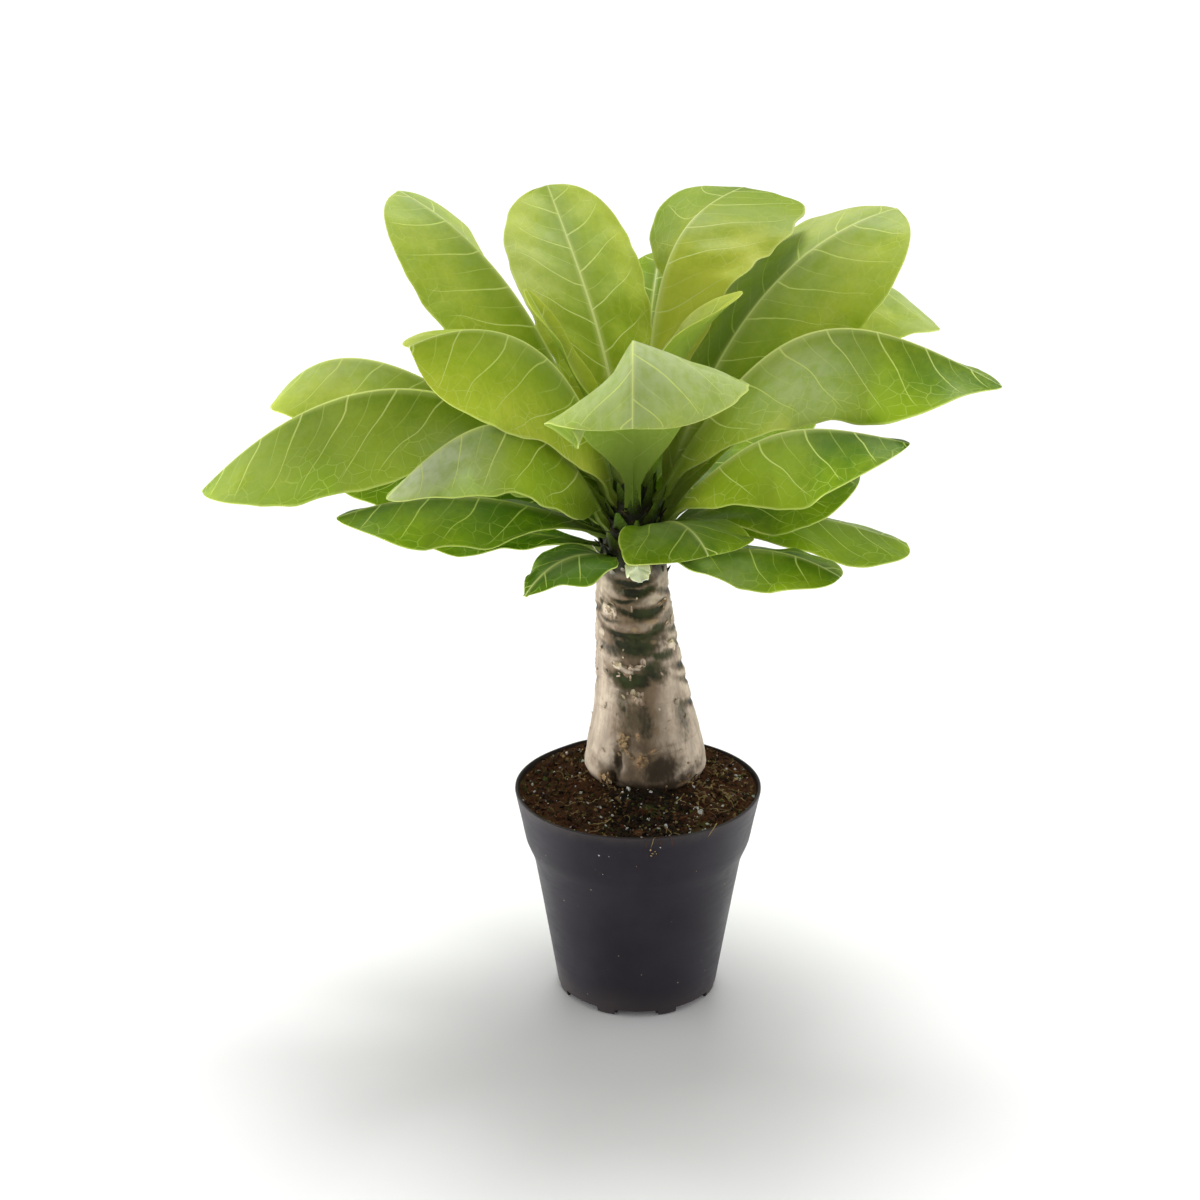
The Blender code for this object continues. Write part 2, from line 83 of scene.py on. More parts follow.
# Turns an outline of (radius, height) points, in millimetres, round the upright axis
def spinOutline(name, points, steps):
    mesh = bpy.data.meshes.new(name)
    places = [(radius * mm, 0.0, height * mm) for radius, height in points]
    mesh.from_pydata(places, [(i, i + 1) for i in range(len(places) - 1)], [])
    piece = bpy.data.objects.new(name, mesh)
    bpy.context.scene.collection.objects.link(piece)
    pick(piece)
    bpy.ops.object.mode_set(mode="EDIT")
    bpy.ops.mesh.select_all(action="SELECT")
    bpy.ops.mesh.spin(steps=steps, angle=fullTurn, center=(0, 0, 0), axis=(0, 0, 1))
    bpy.ops.mesh.select_all(action="SELECT")
    bpy.ops.mesh.remove_doubles(threshold=0.01 * mm)
    bpy.ops.mesh.normals_make_consistent(inside=False)
    bpy.ops.object.mode_set(mode="OBJECT")
    return piece


def blend(low, high, share):
    return low + (high - low) * share


def ease(low, high, value):
    share = min(1.0, max(0.0, (value - low) / (high - low)))
    return share * share * (3.0 - 2.0 * share)


def alongTable(table, value):
    for (x0, y0), (x1, y1) in zip(table, table[1:]):
        if value <= x1:
            return blend(y0, y1, max(0.0, value - x0) / (x1 - x0))
    return table[-1][1]


def storeVectors(mesh, name, rows):
    store = mesh.attributes.new(name, "FLOAT_VECTOR", "POINT")
    store.data.foreach_set("vector", [value for row in rows for value in row])


# ---- material building: short ways to place nodes and join their sockets
def put(tree, kind, inputs=None, **settings):
    node = tree.nodes.new(kind)
    for key, value in settings.items():
        setattr(node, key, value)
    for key, value in (inputs or {}).items():
        if isinstance(value, bpy.types.NodeSocket):
            tree.links.new(value, node.inputs[key])
        else:
            node.inputs[key].default_value = value
    return node


def calc(tree, operation, first, second=0.0, third=0.0, clamp=False):
    node = put(tree, "ShaderNodeMath", {0: first, 1: second, 2: third}, operation=operation, use_clamp=clamp)
    return node.outputs[0]


# 0 below low, 1 above high, smooth between
def stepUp(tree, value, low, high, outLow=0.0, outHigh=1.0):
    node = put(tree, "ShaderNodeMapRange", {"Value": value, "From Min": low, "From Max": high,
               "To Min": outLow, "To Max": outHigh}, interpolation_type="SMOOTHSTEP")
    return node.outputs[0]


def mixColours(tree, share, first, second, blendType="MIX"):
    node = put(tree, "ShaderNodeMix", {0: share, 6: first, 7: second}, data_type="RGBA", blend_type=blendType)
    return node.outputs[2]


def noiseOf(tree, vector, scale, detail=3.0, roughness=0.5, distortion=0.0):
    node = put(tree, "ShaderNodeTexNoise", {"Vector": vector, "Scale": scale, "Detail": detail,
               "Roughness": roughness, "Distortion": distortion})
    return node.outputs["Fac"]


def stretched(tree, vector, scale):
    return put(tree, "ShaderNodeMapping", {"Vector": vector, "Scale": scale}).outputs[0]


def objectPlace(tree):
    return put(tree, "ShaderNodeTexCoord").outputs["Object"]


def newGroup(name, inputs, outputs):
    tree = bpy.data.node_groups.new(name, "ShaderNodeTree")
    for label, kind, value in inputs:
        socket = tree.interface.new_socket(name=label, in_out="INPUT", socket_type=kind)
        socket.default_value = value
    for label, kind in outputs:
        tree.interface.new_socket(name=label, in_out="OUTPUT", socket_type=kind)
    return tree, tree.nodes.new("NodeGroupInput"), tree.nodes.new("NodeGroupOutput")


def placeGroup(tree, group, **inputs):
    node = tree.nodes.new("ShaderNodeGroup")
    node.node_tree = group
    for label, value in inputs.items():
        if isinstance(value, bpy.types.NodeSocket):
            tree.links.new(value, node.inputs[label])
        else:
            node.inputs[label].default_value = value
    return node


def newMaterial(name, viewColour):
    material = bpy.data.materials.new(name)
    material.use_nodes = True
    material.diffuse_color = (*viewColour, 1.0)
    tree = material.node_tree
    return material, tree, tree.nodes["Principled BSDF"]


def wire(tree, shader, **sockets):
    for label, value in sockets.items():
        target = shader.inputs[label.replace("_", " ")]
        if isinstance(value, bpy.types.NodeSocket):
            tree.links.new(value, target)
        else:
            target.default_value = value


def bumpOf(tree, height, strength, distance):
    return put(tree, "ShaderNodeBump", {"Height": height, "Strength": strength, "Distance": distance}).outputs[0]


# Dust and fine specks, used on the pot
def makeSpeckGroup():
    number, colour = "NodeSocketFloat", "NodeSocketColor"
    tree, given, out = newGroup("specks", [("Base", colour, (0, 0, 0, 1)), ("Speck", colour, (1, 1, 1, 1)),
                                ("Scale", number, 400.0), ("Amount", number, 0.5)],
                                [("Color", colour), ("Mask", number)])
    place = objectPlace(tree)
    cells = put(tree, "ShaderNodeTexVoronoi", {"Vector": place, "Scale": given.outputs["Scale"]})
    near = stepUp(tree, cells.outputs["Distance"], 0.10, 0.26, 1.0, 0.0)
    picked = put(tree, "ShaderNodeSeparateColor", {"Color": cells.outputs["Color"]})
    few = calc(tree, "LESS_THAN", picked.outputs[0], given.outputs["Amount"])
    mask = calc(tree, "MULTIPLY", near, few)
    tree.links.new(mixColours(tree, mask, given.outputs["Base"], given.outputs["Speck"]), out.inputs["Color"])
    tree.links.new(mask, out.inputs["Mask"])
    return tree


speckGroup = makeSpeckGroup()


# ---- the leaves
leafSet = {
    "rows": 56, "columns": 28, "petioleHalfWidth": 4.2, "petioleShare": 0.06, "tipHalfWidth": 1.2,
    "rootThickness": 4.6, "ribThickness": 1.7, "marginThickness": 0.55, "rootTaper": 0.45,
    "foldFull": 0.5, "foldOpens": 0.7, "curlAtRoot": 0.3, "waveShift": 0.15,
    "phaseStep": 0.37, "veinPitch": 25.0, "quilt": 0.34, "ruffle": 1.4, "marginBumps": 0.07,
}

# Each leaf's sheen numbers place a painted sheen, whitish colour standing in for reflected light: share, across,
# spread, strength; the tip's number adds more of it towards the tip
leafUsual = {
    "azimuth": 0.0, "root": 250.0, "tip": (150.0, 300.0), "rise": 45.0, "dip": -10.0, "pull": (0.38, 0.38),
    "sway": 0.0, "width": 32.0, "blunt": 0.42, "belly": 0.9, "roll": 0.0, "hang": 0.6,
    "foldLeft": (20.0, -30.0), "foldRight": (20.0, -30.0), "curlLeft": -10.0, "curlRight": -10.0,
    "tipFold": 0.15, "wave": 1.5, "waves": 2.5, "tone": 0.45, "tipTone": 0.0, "paintedSheen": (0.6, 0.0, 0.25, 0.12),
    "tipSheen": 0.0, "pale": 0.0,
}

leafTable = [
    {"name": "leaf_01", "azimuth": 146, "root": 266, "tip": (149, 409), "rise": 66, "dip": 16, "width": 38,
     "hang": 0.0, "foldLeft": (0, -45), "foldRight": (-40, -38), "belly": 0.65, "tone": 0.62,
     "paintedSheen": (0.9, -0.4, 0.22, 0.1), "tipSheen": 0.2},
    {"name": "leaf_02", "azimuth": 110, "root": 270, "tip": (132, 404), "rise": 76, "dip": 36, "width": 34,
     "hang": 0.0, "roll": -14, "sway": 2, "foldLeft": (14, 12), "curlLeft": 0, "foldRight": (0, -12),
     "tone": 0.66, "paintedSheen": (0.8, 0.4, 0.25, 0.08), "tipSheen": 0.15},
    {"name": "leaf_03", "azimuth": 60, "root": 272, "tip": (115, 408), "rise": 88, "dip": 0, "width": 46,
     "hang": 0.0, "pull": (0.65, 0.5), "foldLeft": (-76, -61), "curlLeft": -8, "foldRight": (-60, -10),
     "tipFold": 0.0, "blunt": 0.18, "tone": 1.07, "tipTone": -0.75, "paintedSheen": (0.8, 0.8, 0.24, 0.2)},
    {"name": "leaf_04", "azimuth": 25, "root": 260, "tip": (149, 405), "rise": 74, "dip": 8, "width": 45,
     "hang": 0.0, "foldLeft": (12, 0), "foldRight": (-70, -55), "tone": 0.66, "paintedSheen": (0.7, 0.7, 0.4, 0.3),
     "tipSheen": 0.12},
    {"name": "leaf_05", "azimuth": -7, "root": 277, "tip": (54, 378), "rise": 84, "dip": 40, "width": 16,
     "hang": 0.0, "foldLeft": (60, 40), "foldRight": (60, 40), "tone": 0.75, "paintedSheen": (0.5, 0.8, 0.4, 0.35)},
    {"name": "leaf_06", "azimuth": 150, "root": 276, "tip": (64, 370), "rise": 72, "dip": 55, "width": 5,
     "hang": 0.0, "foldLeft": (60, 50), "foldRight": (60, 50), "tone": 0.75},
    {"name": "leaf_07", "azimuth": 36, "root": 252, "tip": (190, 337), "rise": 58, "dip": -50, "width": 34,
     "pull": (0.5, 0.4), "foldLeft": (-30, -30), "foldRight": (-40, -50), "blunt": 0.25, "tone": 0.75,
     "tipTone": -0.15, "paintedSheen": (0.75, 0.0, 0.3, 0.1), "tipSheen": 0.3},
    {"name": "leaf_08", "azimuth": -6, "root": 268, "tip": (183, 334), "rise": 63, "dip": -28, "width": 44,
     "pull": (0.68, 0.5), "foldLeft": (-60, -50), "foldRight": (-50, -70), "tipFold": -0.1, "blunt": 0.6,
     "tone": 0.63, "tipTone": -0.5, "paintedSheen": (0.45, -0.5, 0.2, 0.5)},
    {"name": "leaf_09", "azimuth": -18, "root": 256, "tip": (142, 312), "rise": 52, "dip": -8, "width": 36,
     "pull": (0.55, 0.45), "foldLeft": (-30, -40), "foldRight": (-10, -60), "blunt": 0.6, "tone": 0.59,
     "tipTone": -0.58},
    {"name": "leaf_10", "azimuth": 8, "root": 250, "tip": (117, 280), "rise": 25, "dip": 0, "width": 30,
     "tone": 0.22},
    {"name": "leaf_11", "azimuth": 14, "root": 244, "tip": (149, 232), "rise": 28, "dip": -22, "width": 29,
     "foldLeft": (5, -10), "foldRight": (12, -22), "tone": 0.38},
    {"name": "leaf_12", "azimuth": -24, "root": 238, "tip": (113, 243), "rise": 20, "dip": -25, "width": 23,
     "foldLeft": (0, -12), "foldRight": (10, -30), "belly": 0.7, "tone": 0.3,
     "paintedSheen": (0.36, -0.7, 0.2, 0.5)},
    {"name": "leaf_13", "azimuth": -58, "root": 252, "tip": (70, 259), "rise": 64, "dip": -45, "width": 36,
     "hang": 0.3, "foldLeft": (8, -10), "foldRight": (20, -10), "tone": 0.3,
     "paintedSheen": (0.5, -0.2, 0.22, 0.35)},
    {"name": "leaf_14", "azimuth": 228, "root": 240, "tip": (79, 237), "rise": 30, "dip": -40, "width": 18,
     "foldLeft": (20, -15), "foldRight": (20, -10), "belly": 0.6, "blunt": 1.1, "tone": 0.0},
    {"name": "leaf_15", "azimuth": 190, "root": 250, "tip": (151, 266), "rise": 30, "dip": -18, "width": 26,
     "foldLeft": (10, -45), "blunt": 0.6, "tone": 0.2},
    {"name": "leaf_16", "azimuth": 208, "root": 258, "tip": (135, 289), "rise": 66, "dip": -42, "width": 32,
     "pull": (0.7, 0.5), "foldLeft": (-62, -60), "foldRight": (-70, -80), "belly": 0.5, "blunt": 0.6,
     "tone": 0.42, "paintedSheen": (0.86, 0.1, 0.24, 0.7), "tipSheen": 0.35},
    {"name": "leaf_17", "azimuth": 182, "root": 264, "tip": (219, 274), "rise": 52, "dip": -46, "width": 45,
     "pull": (0.5, 0.5), "foldLeft": (-60, -70), "foldRight": (-60, -80), "belly": 1.1, "blunt": 0.6,
     "tone": 0.43, "paintedSheen": (0.36, 0.7, 0.13, 0.25), "tipSheen": 0.16},
    {"name": "leaf_18", "azimuth": 157, "root": 258, "tip": (207, 298), "rise": 36, "dip": -52, "width": 36,
     "pull": (0.5, 0.35), "foldLeft": (-40, -55), "foldRight": (-40, -50), "tone": 0.66,
     "paintedSheen": (0.75, 0.0, 0.25, 0.3), "tipSheen": 0.06},
    {"name": "leaf_19", "azimuth": 204, "root": 270, "tip": (118, 361), "rise": 80, "dip": -20, "width": 44,
     "pull": (0.47, 0.45), "foldLeft": (-50, -72), "foldRight": (-40, -12), "tipFold": 0.7, "blunt": 0.38,
     "tone": 0.68, "paintedSheen": (0.5, -0.8, 0.3, 0.5)},
    {"name": "leaf_20", "azimuth": -90, "root": 268, "tip": (98, 336), "rise": 84, "dip": -60, "width": 57,
     "hang": 0.4, "pull": (0.9, 0.65), "foldLeft": (0, -17), "foldRight": (0, -57), "tone": 0.5,
     "paintedSheen": (0.6, 0.0, 0.6, 0.6)},
    {"name": "leaf_21", "azimuth": 168, "root": 240, "tip": (122, 240), "rise": 12, "dip": -10, "width": 14,
     "tone": 0.15},
    {"name": "leaf_22", "azimuth": 155, "root": 246, "tip": (173, 258), "rise": 25, "dip": -20, "width": 28,
     "foldLeft": (0, -40), "tone": 0.18},
    {"name": "leaf_23", "azimuth": 92, "root": 248, "tip": (182, 288), "rise": 38, "dip": -24, "width": 38,
     "tone": 0.35},
    {"name": "leaf_24", "azimuth": 76, "root": 240, "tip": (165, 238), "rise": 20, "dip": -24, "width": 32,
     "tone": 0.3},
    {"name": "leaf_25", "azimuth": 124, "root": 258, "tip": (150, 325), "rise": 48, "dip": -10, "width": 30,
     "foldLeft": (-30, -40), "foldRight": (-30, -40), "tone": 0.3},
    {"name": "leaf_26", "azimuth": -84, "root": 240, "tip": (38, 237), "rise": 20, "dip": -50, "width": 4.0,
     "blunt": 0.8, "tone": 1.0, "tipTone": 0.1, "paintedSheen": (0.6, 0.0, 3.0, 1.0), "pale": 0.9},
    {"name": "leaf_27", "azimuth": 84, "root": 262, "tip": (132, 366), "rise": 60, "dip": 20, "width": 22,
     "hang": 0.0, "tone": 0.45},
    {"name": "leaf_28", "azimuth": 60, "root": 246, "tip": (172, 276), "rise": 28, "dip": -22, "width": 34,
     "tone": 0.3},
    {"name": "leaf_29", "azimuth": 122, "root": 242, "tip": (165, 246), "rise": 24, "dip": -24, "width": 32,
     "tone": 0.3},
]

# The trunk's radius at each height, in millimetres
trunkOutline = [(113.5, 26.0), (117.0, 30.0), (122.0, 32.0), (134.0, 30.2), (152.0, 26.4), (171.0, 23.3),
                (197.0, 20.6), (219.0, 18.9), (232.0, 17.8), (246.0, 16.0), (258.0, 13.6), (268.0, 10.4),
                (276.0, 6.0), (280.0, 0.0)]


# The midrib's place and slope in the leaf's own upright plane, in millimetres
def midribAt(leaf, share):
    rise, dip = math.radians(leaf["rise"]), math.radians(leaf["dip"])
    halfRoot = 0.5 * leafSet["rootThickness"]
    stem = alongTable(trunkOutline, leaf["root"] - halfRoot * math.cos(rise))
    start = Vector((stem + halfRoot * math.sin(rise) + 0.6, leaf["root"]))
    end = Vector(leaf["tip"])
    chord = (end - start).length
    first = start + leaf["pull"][0] * chord * Vector((math.cos(rise), math.sin(rise)))
    last = end - leaf["pull"][1] * chord * Vector((math.cos(dip), math.sin(dip)))
    rest = 1.0 - share
    point = start * rest**3 + 3 * first * rest**2 * share + 3 * last * rest * share**2 + end * share**3
    slope = (first - start) * rest**2 + 2 * (last - first) * rest * share + (end - last) * share**2
    return point, slope.normalized()


def halfWidthAt(leaf, share):
    grown = max(0.0, (share - leafSet["petioleShare"]) / (1.0 - leafSet["petioleShare"]))
    widest = leaf["belly"] / (leaf["belly"] + leaf["blunt"])
    blade = (grown / widest) ** leaf["belly"] * (max(0.0, 1.0 - grown) / (1.0 - widest)) ** leaf["blunt"]
    return max(leafSet["tipHalfWidth"], leaf["width"] * blade + leafSet["petioleHalfWidth"] * (1.0 - share) ** 0.5)


def foldAt(pair, tipFold, share):
    opened = min(1.0, max(0.0, (share - leafSet["foldOpens"]) / (1.0 - leafSet["foldOpens"])))
    folded = blend(pair[0], pair[1], min(1.0, share / leafSet["foldFull"]))
    return math.radians(folded * blend(1.0, tipFold, opened))


# One half of the blade's cross section: it leaves the midrib at the fold and bends evenly by the curl
def halfSection(fold, curl, width, across):
    if abs(curl) < 0.01:
        return width * across * math.cos(fold), width * across * math.sin(fold)
    turned = fold + curl * across
    out = width / curl * (math.sin(turned) - math.sin(fold))
    return out, width / curl * (math.cos(fold) - math.cos(turned))


# All that is the same along one row of the leaf's grid
def leafRow(leaf, share):
    point, slope = midribAt(leaf, share)
    azimuth = math.radians(leaf["azimuth"])
    outward = Vector((math.cos(azimuth), math.sin(azimuth), 0.0))
    left = Vector((-math.sin(azimuth), math.cos(azimuth), 0.0))
    upward = Vector((0.0, 0.0, 1.0))
    along = outward * slope.x + upward * slope.y
    normal = along.cross(left)
    roll = math.radians(leaf["roll"]) * share
    side = left * math.cos(roll) + normal * math.sin(roll)
    face = normal * math.cos(roll) - left * math.sin(roll)
    face = (face * (1.0 - leaf["hang"]) + upward * leaf["hang"]).normalized()
    spot = outward * point.x + upward * point.y + left * leaf["sway"] * share**2
    return {"spot": spot, "side": side, "face": face, "half": halfWidthAt(leaf, share), "share": share,
            "foldLeft": foldAt(leaf["foldLeft"], leaf["tipFold"], share),
            "foldRight": foldAt(leaf["foldRight"], leaf["tipFold"], share),
            "curlLeft": math.radians(leaf["curlLeft"]) * min(1.0, leafSet["curlAtRoot"] + share),
            "curlRight": math.radians(leaf["curlRight"]) * min(1.0, leafSet["curlAtRoot"] + share)}


# Which vein a point lies between: the veins leave the midrib at a slant and bend towards the tip
def veinPhase(leaf, length, sideways, half):
    slant = 0.62 * sideways + 0.30 * sideways**2 / max(half, 6.0)
    wobble = 4.2 * noise.noise(Vector((length, sideways, 31.0 * leaf["number"])) / 21.0)
    return (length - slant + wobble * min(1.0, sideways / 6.0)) / leafSet["veinPitch"] + 0.3 * leaf["number"]


def makeBlade(given, materials):
    leaf = dict(leafUsual)
    leaf.update(given)
    leaf["number"] = int(leaf["name"][-2:])
    phase = leafSet["phaseStep"] * leaf["number"]
    rows, columns = leafSet["rows"], leafSet["columns"]
    clearSelection()
    bpy.ops.mesh.primitive_grid_add(x_subdivisions=rows, y_subdivisions=columns, size=2.0)
    piece = bpy.context.object
    piece.name = "blade_" + leaf["name"][-2:]
    mesh = piece.data
    table = []
    length = 0.0
    for i in range(rows + 1):
        share = 1.0 - (1.0 - i / rows) ** 1.35
        row = leafRow(leaf, share)
        if table:
            length += (row["spot"] - table[-1]["spot"]).length
        row["length"] = length
        table.append(row)
    # the root runs on into the trunk
    table[0] = dict(table[0], spot=table[0]["spot"] - (table[1]["spot"] - table[0]["spot"]).normalized() * 3.0
                    - Vector((math.cos(math.radians(leaf["azimuth"])), math.sin(math.radians(leaf["azimuth"])), 0)) * 3.5)
    # the smallest leaves stay smooth
    small = ease(4.0, 16.0, leaf["width"])
    group = piece.vertex_groups.new(name="thickness")
    shape, size, paintedSheen = [], [], []
    for vert in mesh.vertices:
        row = table[round((vert.co.x + 1.0) / 2.0 * rows)]
        across = round(vert.co.y * columns / 2.0) / (columns / 2.0)
        share, half, reach = row["share"], row["half"], abs(across)
        which, hand = ("Left", 1.0) if across >= 0.0 else ("Right", -1.0)
        out, up = halfSection(row["fold" + which], row["curl" + which], half, reach)
        arch = 4.0 * share * (1.0 - share)
        ripple = math.sin(fullTurn * (leaf["waves"] * share + phase + leafSet["waveShift"] * hand))
        up += leaf["wave"] * ripple * reach**2 * arch
        vein = veinPhase(leaf, row["length"], half * reach, half)
        middle = ease(0.08, 0.3, reach) * (1.0 - ease(0.75, 1.0, reach)) * min(1.0, half / 12.0)
        up -= leafSet["quilt"] * small * math.cos(fullTurn * (vein + (0.37 if hand > 0 else 0.0))) * middle
        up += leafSet["ruffle"] * small * noise.noise(Vector((row["length"], across * 40.0, leaf["number"] * 9.0)) / 16.0) \
            * reach * arch * 2.0
        uneven = noise.noise(Vector((row["length"] / 13.0, hand * 5.0, leaf["number"] * 3.0)))
        out *= 1.0 + leafSet["marginBumps"] * small * uneven * reach**3 * min(1.0, arch * 2.0)
        spot = row["spot"] + row["side"] * hand * out + row["face"] * up
        rib = max(leafSet["ribThickness"], leafSet["rootThickness"] * (1.0 - share / leafSet["rootTaper"]))
        rib *= 1.0 - 0.35 * share
        edge = leafSet["marginThickness"]
        edge += (rib - edge) * 0.35 * max(0.0, 1.0 - 3.0 * share)
        thick = edge + (rib - edge) * (1.0 - reach) ** 5
        group.add([vert.index], thick / leafSet["rootThickness"], "REPLACE")
        vert.co = spot * mm + Vector((crownSpot.x, crownSpot.y, 0.0))
        shape.append((share, across, vein))
        size.append((row["length"] / 100.0, half * across / 100.0, leaf["tone"] + leaf["tipTone"] * share**2))
        # painted sheen, whitish colour standing in for reflected light, lies round one spot of the blade: share,
        # across, spread, strength
        at, aside, spread, strength = leaf["paintedSheen"]
        off = ((share - at) / spread) ** 2 + ((across - aside) / (spread * 2.6)) ** 2
        sheenHere = strength * math.exp(-off) + leaf["tipSheen"] * ease(0.4, 0.95, share)
        paintedSheen.append((sheenHere, leaf["pale"], 0.0))
    storeVectors(mesh, "bladeShape", shape)
    storeVectors(mesh, "bladeSize", size)
    storeVectors(mesh, "bladeSheenAndPale", paintedSheen)
    for material in materials:
        mesh.materials.append(material)
    shell = piece.modifiers.new("shell", "SOLIDIFY")
    shell.thickness = leafSet["rootThickness"] * mm
    shell.offset = 0.0
    shell.vertex_group = "thickness"
    shell.thickness_vertex_group = 0.0
    shell.material_offset = 1
    applyAll(piece)
    smoothBy(piece, 50.0)
    return settle(piece, "leaf_green", leaf["name"])


# Where the midrib, the veins and the fine net lie on a blade, from the numbers kept on its points
def makeVeinGroup():
    number, vector = "NodeSocketFloat", "NodeSocketVector"
    tree, given, out = newGroup("leafVeins", [("Vein Width", number, 0.6), ("Net Scale", number, 14.0)],
                                [("Midrib", number), ("Veins", number), ("Net", number), ("Margin", number),
                                 ("Share", number), ("Reach", number), ("Tone", number), ("Flat", vector)])
    shape = put(tree, "ShaderNodeAttribute", attribute_name="bladeShape").outputs["Vector"]
    size = put(tree, "ShaderNodeAttribute", attribute_name="bladeSize").outputs["Vector"]
    share, across, phase = put(tree, "ShaderNodeSeparateXYZ", {0: shape}).outputs
    length, sideways, tone = put(tree, "ShaderNodeSeparateXYZ", {0: size}).outputs
    flat = put(tree, "ShaderNodeCombineXYZ", {"X": length, "Y": sideways, "Z": tone}).outputs[0]
    reach = calc(tree, "ABSOLUTE", across)
    aside = calc(tree, "MULTIPLY", calc(tree, "ABSOLUTE", sideways), 100.0)
    # midrib, wide at the root and fine at the tip
    ribWidth = calc(tree, "MULTIPLY_ADD", calc(tree, "SUBTRACT", 1.0, share), 1.75, 0.40)
    ribInner = calc(tree, "MULTIPLY", ribWidth, 0.30)
    rib = put(tree, "ShaderNodeMapRange", {"Value": aside, "From Min": ribInner, "From Max": ribWidth,
              "To Min": 1.0, "To Max": 0.0}, interpolation_type="SMOOTHSTEP").outputs[0]
    # a soft pale band lies along both sides of it
    ribOuter = calc(tree, "MULTIPLY", ribWidth, 2.7)
    band = put(tree, "ShaderNodeMapRange", {"Value": aside, "From Min": ribInner, "From Max": ribOuter,
               "To Min": 0.42, "To Max": 0.0}, interpolation_type="SMOOTHSTEP").outputs[0]
    rib = calc(tree, "MAXIMUM", rib, band)
    # side veins alternate from half to half
    leftSide = calc(tree, "GREATER_THAN", across, 0.0)
    shifted = calc(tree, "MULTIPLY_ADD", leftSide, 0.37, phase)

    def lines(value, width, sharp):
        away = calc(tree, "MULTIPLY", calc(tree, "ABSOLUTE", calc(tree, "SUBTRACT",
                    calc(tree, "FRACT", value), 0.5)), leafSet["veinPitch"])
        outer = calc(tree, "MULTIPLY", width, sharp)
        return put(tree, "ShaderNodeMapRange", {"Value": away, "From Min": calc(tree, "MULTIPLY", outer, 0.3),
                   "From Max": outer, "To Min": 1.0, "To Max": 0.0}, interpolation_type="SMOOTHSTEP").outputs[0]
    width = calc(tree, "MULTIPLY", given.outputs["Vein Width"], stepUp(tree, reach, 0.0, 0.9, 1.25, 0.6))
    major = calc(tree, "MULTIPLY", lines(shifted, width, 1.0), stepUp(tree, reach, 0.72, 0.93, 1.0, 0.0))
    patchy = noiseOf(tree, stretched(tree, flat, (4.0, 9.0, 3.0)), 1.0, 1.0)
    minorEnd = stepUp(tree, calc(tree, "MULTIPLY_ADD", patchy, 0.6, reach), 0.55, 0.95, 0.42, 0.0)
    minor = calc(tree, "MULTIPLY", lines(calc(tree, "ADD", shifted, 0.5), width, 0.62), minorEnd)
    veins = calc(tree, "MAXIMUM", major, minor)
    # the fine net, clearest towards the margin
    bent = put(tree, "ShaderNodeTexNoise", {"Vector": flat, "Scale": 9.0, "Detail": 1.0}).outputs["Color"]
    bentBy = put(tree, "ShaderNodeVectorMath", {0: bent, "Scale": 0.05}, operation="SCALE").outputs[0]
    moved = put(tree, "ShaderNodeVectorMath", {0: flat, 1: bentBy}, operation="ADD").outputs[0]
    cells = put(tree, "ShaderNodeTexVoronoi", {"Vector": stretched(tree, moved, (0.8, 1.25, 1.0)),
                "Scale": given.outputs["Net Scale"]}, feature="DISTANCE_TO_EDGE", voronoi_dimensions="2D")
    net = stepUp(tree, cells.outputs[0], 0.0, 0.055, 1.0, 0.0)
    netWhere = calc(tree, "MULTIPLY", stepUp(tree, reach, 0.25, 0.7, 0.15, 1.0),
                    stepUp(tree, noiseOf(tree, flat, 6.0, 2.0), 0.35, 0.65, 0.25, 1.0))
    net = calc(tree, "MULTIPLY", net, netWhere)
    margin = stepUp(tree, reach, 0.965, 0.995)
    for label, value in (("Midrib", rib), ("Veins", veins), ("Net", net), ("Margin", margin), ("Share", share),
                         ("Reach", reach), ("Tone", tone), ("Flat", flat)):
        tree.links.new(value, out.inputs[label])
    return tree


# Each finish holds the colour of its painted sheen and how much of that sheen shows on the face
leafFinish = {
    # root is the colour of the painted shade at each blade's root, where the crown shades it
    "top": {"dark": (0.085, 0.175, 0.006, 1), "mid": (0.250, 0.350, 0.012, 1), "bright": (0.480, 0.540, 0.055, 1),
            "vein": (0.60, 0.69, 0.20, 1), "rib": (0.64, 0.71, 0.26, 1), "paintedSheen": (0.56, 0.62, 0.40, 1),
            "root": (0.060, 0.105, 0.008, 1), "roughness": 0.45, "veinShare": 0.85, "rootShade": 0.75, "sheenShare": 1.0},
    "under": {"dark": (0.110, 0.195, 0.012, 1), "mid": (0.235, 0.345, 0.030, 1), "bright": (0.40, 0.48, 0.09, 1),
              "vein": (0.42, 0.52, 0.13, 1), "rib": (0.30, 0.42, 0.06, 1), "paintedSheen": (0.50, 0.57, 0.34, 1),
              "root": (0.080, 0.130, 0.010, 1), "roughness": 0.52, "veinShare": 0.5, "rootShade": 0.8, "sheenShare": 0.12},
}


